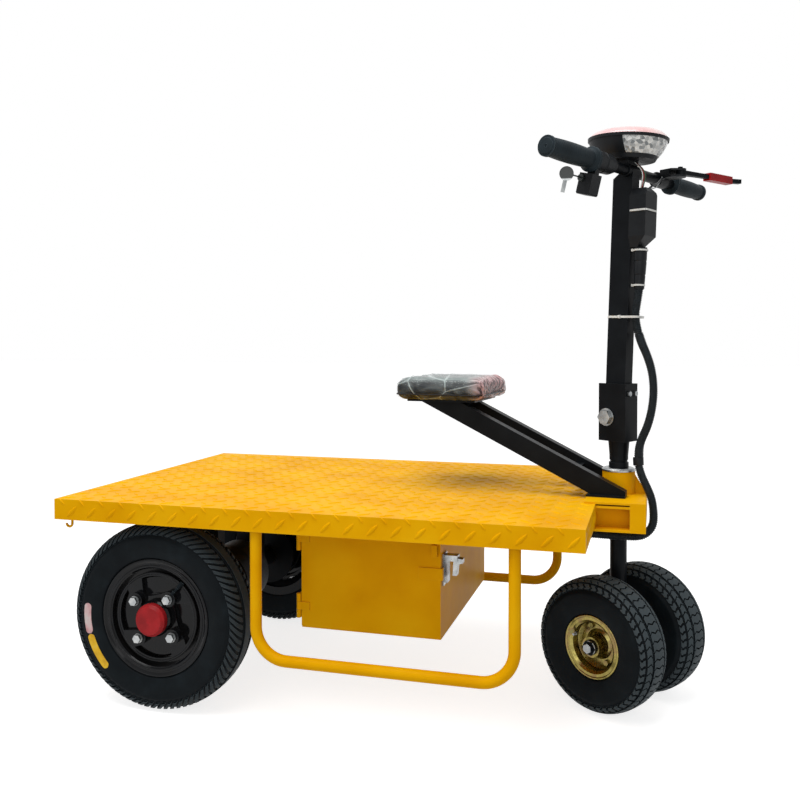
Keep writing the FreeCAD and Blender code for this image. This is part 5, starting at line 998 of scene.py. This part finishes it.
def sticker(name, start, end, inner, outer, finish):
    """A thin patch on the right rear tyre between two angles and two radii, with round ends."""
    patch = primitive("grid", name, x_subdivisions=36, y_subdivisions=8, size=2)
    half_high = (outer - inner) / 2
    length = math.radians(end - start) * (inner + half_high) / 2
    for vertex in patch.data.vertices:
        from_end = length * (1 - abs(vertex.co.x))
        rounding = math.sqrt(max(0.02, 1 - max(0, 1 - from_end / half_high) ** 2))
        radius = inner + half_high * (1 + vertex.co.y * rounding)
        angle = math.radians(start + (end - start) * (vertex.co.x + 1) / 2)
        out = sidewall_at(radius, rear_lines) + 0.35
        vertex.co = (REAR_AXLE * MM + radius * MM * math.cos(angle), -REAR_TRACK * MM - out * MM,
                     REAR_RADIUS * MM + radius * MM * math.sin(angle))
    healed(0.01 * MM)
    finished_with(patch, "SOLIDIFY", thickness=0.3 * MM)
    object_mode(35)
    on_cart(patch, "rear_wheel_right", "clear_lens", finish)


for name, stops, start, end in (
        ("pale_vinyl_sticker", ((0.3, "#C98F92"), (0.55, "#DDB9B8"), (0.75, "#D8D0CC")), 172, 196),
        ("yellow_vinyl_sticker", ((0.35, "#D9A514"), (0.6, "#F0C020"), (0.8, "#E9C75A")), 196.5, 226)):
    vinyl_print = clouded_finish(name, stops, (60, 3), 0.35, (0.2, 0.0002, "TexNoise", {"Scale": 900}),
                                 IOR=1.48, Specular_IOR_Level=0.3)
    sticker(name.replace("_vinyl", "") + "_right", start, end, 140, 155, vinyl_print)

# %% [markdown]
# White nylon ties bind the looms. A tie is a ribbed strap with a small square head. The
# strap starts as a rounded rectangle's outline, extruded to its width and thickened.
# %% Nylon ties
HEAD_LONG, HEAD_WIDE = 4.6, 6
nylon = clouded_finish("natural_nylon", ((0.3, "#C9CAC6"), (0.7, "#EDEDE8")), (60, 3), 0.4,
                       (0.3, 0.0004, "TexWave", {"Scale": 160}), IOR=1.53, Specular_IOR_Level=0.4)
mast_turned = mast_frame.to_3x3().to_4x4()


def tie(name, long, wide, corner, strap, head_at, spot):
    """A strap round a rounded rectangle of millimetres, its head at an angle, on the column."""
    band = primitive("plane", size=1)
    placed(band, Matrix.Diagonal((long * MM, wide * MM, 1, 1)))
    edit_mode()
    bpy.ops.mesh.bevel(offset=corner * MM, segments=6, affect="VERTICES", clamp_overlap=True)
    bpy.ops.mesh.delete(type="ONLY_FACE")
    bpy.ops.mesh.select_all(action="SELECT")
    bpy.ops.mesh.extrude_edges_move(TRANSFORM_OT_translate={"value": (0, 0, strap * MM)})
    healed(0.01 * MM)
    finished_with(band, "SOLIDIFY", thickness=1.3 * MM, offset=1)
    head = primitive("cube", size=1)
    placed(head, Matrix.Diagonal((HEAD_LONG * MM, HEAD_WIDE * MM, (strap + 2) * MM, 1)))
    finished_with(head, "BEVEL", width=0.8 * MM, segments=2)
    turn = math.radians(head_at)
    placed(head, Matrix.Translation((math.cos(turn) * (long / 2 + 2) * MM,
                                     math.sin(turn) * (wide / 2 + 2) * MM, strap / 2 * MM)))
    whole = joined(name, [band, head])
    placed(whole, Matrix.Translation(mast(*spot)) @ mast_turned)
    on_cart(whole, "column", "clear_lens", nylon)


tie("tie_cover", 39, 43, 6, 3.6, 230, (54.5, 0, 418))
tie("tie_loom_high", 27.5, 27.5, 13.6, 3.4, 215, (52, 0, 339))
tie("tie_loom_middle", 21.5, 21.5, 10.6, 3.4, 200, (51, 0, 268))
tie("tie_column", 71, 27.5, 6, 4.5, 262, (22.5, 0, 203))
print("ties done")

# %% [markdown]
# A small rod hook hangs under each rear corner, for the cord that ties a load down. It is
# half a turn of rod on a short shank: a torus cut in half by bisect, its open end extruded.
# %% Load hooks
HOOK_BACK, HOOK_SIDE, HOOK_DROP, SHANK = -643 * MM, 335 * MM, 10 * MM, 14 * MM
for side, left in SIDES:
    hook = primitive("torus", "load_hook_" + side, major_radius=6.5 * MM, minor_radius=2.4 * MM,
                     major_segments=28, minor_segments=10)
    edit_mode()
    bpy.ops.mesh.bisect(plane_co=(0, 0, 0), plane_no=(0, 1, 0), clear_outer=True, use_fill=True)
    choose_faces(hook, lambda face: (face.center.x > 0 and face.normal.y > 0.95
                                     and abs(face.center.y) < 0.2 * MM))
    bpy.ops.mesh.extrude_region_move(TRANSFORM_OT_translate={"value": (0, SHANK, 0)})
    object_mode(40)
    placed(hook, Matrix.Translation((HOOK_BACK, left * HOOK_SIDE, deck_low.z - HOOK_DROP)) @ UPRIGHT)
    on_cart(hook, "chassis", "yellow_paint")

# %% [markdown]
# Each grip ends in a flat disc with a drain hole, and a nut and washer close the front
# axle's ends. The discs are spun; the nuts start as six-sided cylinders.
# %% Grip ends and axle nuts
for side, left, big in (("right", -1, 15.5), ("left", 1, 14)):
    disc = spun("grip_end_" + side, ((3.2, -1.2), (big - 1, -1.2), (big, -0.4), (big, 0.4), (3.2, 0.4)), 32)
    placed(disc, Matrix.Translation(mast(22, left * 279, 504)) @ mast_turned
           @ Matrix.Diagonal((1, -left, 1, 1)))
    on_cart(disc, "column", "grip_rubber")

for side, left in SIDES:
    name = "axle_nut_" + side
    nut = primitive("cylinder", vertices=6, radius=10 * MM, depth=7 * MM)
    finished_with(nut, "BEVEL", width=0.9 * MM, segments=2)
    placed(nut, UPRIGHT)
    washer = spun(name + "_washer", ((6, 3.5), (14, 3.5), (14.5, 4.2), (14.5, 5.4), (6, 5.4)), 32)
    both = joined(name, [nut, washer])
    placed(both, front_wheel(left, FRONT_TRACK + 46) @ Matrix.Diagonal((1, -left, 1, 1)))
    on_cart(both, "steering", "zinc_steel")

# %% [markdown]
# Three thin wires leave the lamp's base and dip into the connector cover: red, green and
# white. The brake lever's cable and its pale switch wire swing across from the perch to the
# same cover. All are held at both ends and hang in a small loop.
# %% Wires and the brake cable
WIRE = 2.4
BRAKE_CABLE = 4.5


def hung_wire(name, colour, thick, route):
    """A thin wire through points of the column's axes, in its own colour."""
    sheath, tree, shader, place = new_finish(name + "_pvc", colour, 0.35, IOR=1.52, Specular_IOR_Level=0.3)
    in_relief(tree, place, shader, 0.1, 0.0002, "TexNoise", {"Scale": 500})
    path = route_line(name + "_line", [mast(*point) for point in route])
    wire = ribbed_tube(name, path, thick / 2 * MM, 0.004, 0.00005, 10)
    wire.data.materials.append(sheath)
    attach(wire, "column")
    declared_cord(wire, path)


for name, colour, side_shift in (("wire_red", "#8E1C22", -9), ("wire_green", "#2E5A3C", -5),
                                 ("wire_white", "#C9CDC9", -13)):
    hung_wire(name, colour, WIRE, ((36, side_shift * 0.6, 520), (44, side_shift * 0.9, 514),
                                   (56, side_shift * 1.2, 503), (62, side_shift * 1.3, 489),
                                   (58, side_shift * 1.1, 475), (55, side_shift, 465)))
hung_wire("brake_cable", "#1B1D1F", BRAKE_CABLE,
          ((41, 97, 504), (45, 82, 501), (55, 58, 490), (62, 36, 480), (62, 18, 474), (58, 9, 464)))
hung_wire("brake_switch_wire", "#C4C8C6", WIRE,
          ((37, 97, 508), (42, 84, 500), (48, 62, 482), (52, 42, 472), (50, 24, 473), (47, 14, 464)))

# %% [markdown]
# The loom leaves the cover in a moulded boot of stacked plugs, and a short rubber collar
# closes it where the steering parts it from the frame. Both are spun.
# %% Boot and collar
boot = spun("loom_boot", ((8.6, 0), (13, 0), (13, -26), (12.2, -27), (12.2, -29), (12.8, -30), (11.6, -54),
                          (10.8, -55), (10.8, -57), (11.2, -58), (9.8, -84), (8.6, -84)), 32)
placed(boot, Matrix.Translation(mast(52, 0, 346)) @ mast_turned @ UPRIGHT)
on_cart(boot, "column", "black_plastic")
collar = spun("loom_collar",
              ((8.7, -14), (10.2, -14), (10.6, -12), (10.6, 1.4), (10.2, 2.2), (8.7, 2.2)), 32)
end_at, before_end = steering(*LOOM_BULGE[-1]), steering(*LOOM_BULGE[-2])
heading = (end_at - before_end).to_track_quat("Y", "Z").to_matrix().to_4x4()
placed(collar, Matrix.Translation(end_at) @ heading)
on_cart(collar, "steering", "black_plastic")

# %% [markdown]
# The cart stands in a plain pale studio. The floor keeps its shadow; to the eye, and in
# reflections, the surroundings are white paper.
# %% Floor and surroundings
GLOW = 0.78
FILL = 0.34
WHITE = (1, 1, 1, 1)


def seen_directly(tree):
    """One where the eye, a reflection or a clear sheet looks; nought for light that only bounces."""
    rays = add_node(tree, "LightPath").outputs
    either = add_node(tree, "Math", None, {0: rays["Is Camera Ray"], 1: rays["Is Glossy Ray"]},
                      operation="MAXIMUM")
    return add_node(tree, "Math", None, {0: either.outputs[0], 1: rays["Is Transmission Ray"]},
                    operation="MAXIMUM").outputs[0]


floor = primitive("plane", "studio_floor", size=40)
paper, tree, shader, place = new_finish("pale_paper_floor", "#CFCFCF", 0.75, Specular_IOR_Level=0.1)
in_relief(tree, place, shader, 0.04, 0.0004, "TexNoise", {"Scale": 260, "Detail": 3})
add_node(tree, "Math", {1: GLOW}, {0: seen_directly(tree)}, shader.inputs["Emission Strength"],
         operation="MULTIPLY")
shader.inputs["Emission Color"].default_value = WHITE
floor.data.materials.append(paper)
world = bpy.data.worlds.new("studio")
bpy.context.scene.world = world
world.use_nodes = True
tree = world.node_tree
sky = tree.nodes["Background"]
sky.inputs["Color"].default_value = WHITE
add_node(tree, "MapRange", {"To Min": FILL, "To Max": 1.0}, {"Value": seen_directly(tree)},
         sky.inputs["Strength"])

# %% [markdown]
# Two soft boxes do the work: a large one overhead lights the deck and leaves the cart's
# sides a shade deeper, and a weak one behind the camera keeps the wheels readable.
# %% Lamps
AIM = Vector((0, 0, 0.5))
for name, place, size, power in (("key_box", (-0.4, -0.9, 3.4), 2.6, 90),
                                 ("fill_box", (0.3, -3.0, 1.5), 1.6, 12)):
    lamp_data = bpy.data.lights.new(name, "AREA")
    lamp_data.size = size
    lamp_data.energy = power
    lamp = in_scene(name, lamp_data)
    lamp.location = place
    lamp.rotation_euler = (AIM - Vector(place)).to_track_quat("-Z", "Y").to_euler()
    print(name, power, "W")

# %% View transform
bpy.context.scene.view_settings.view_transform = "Standard"
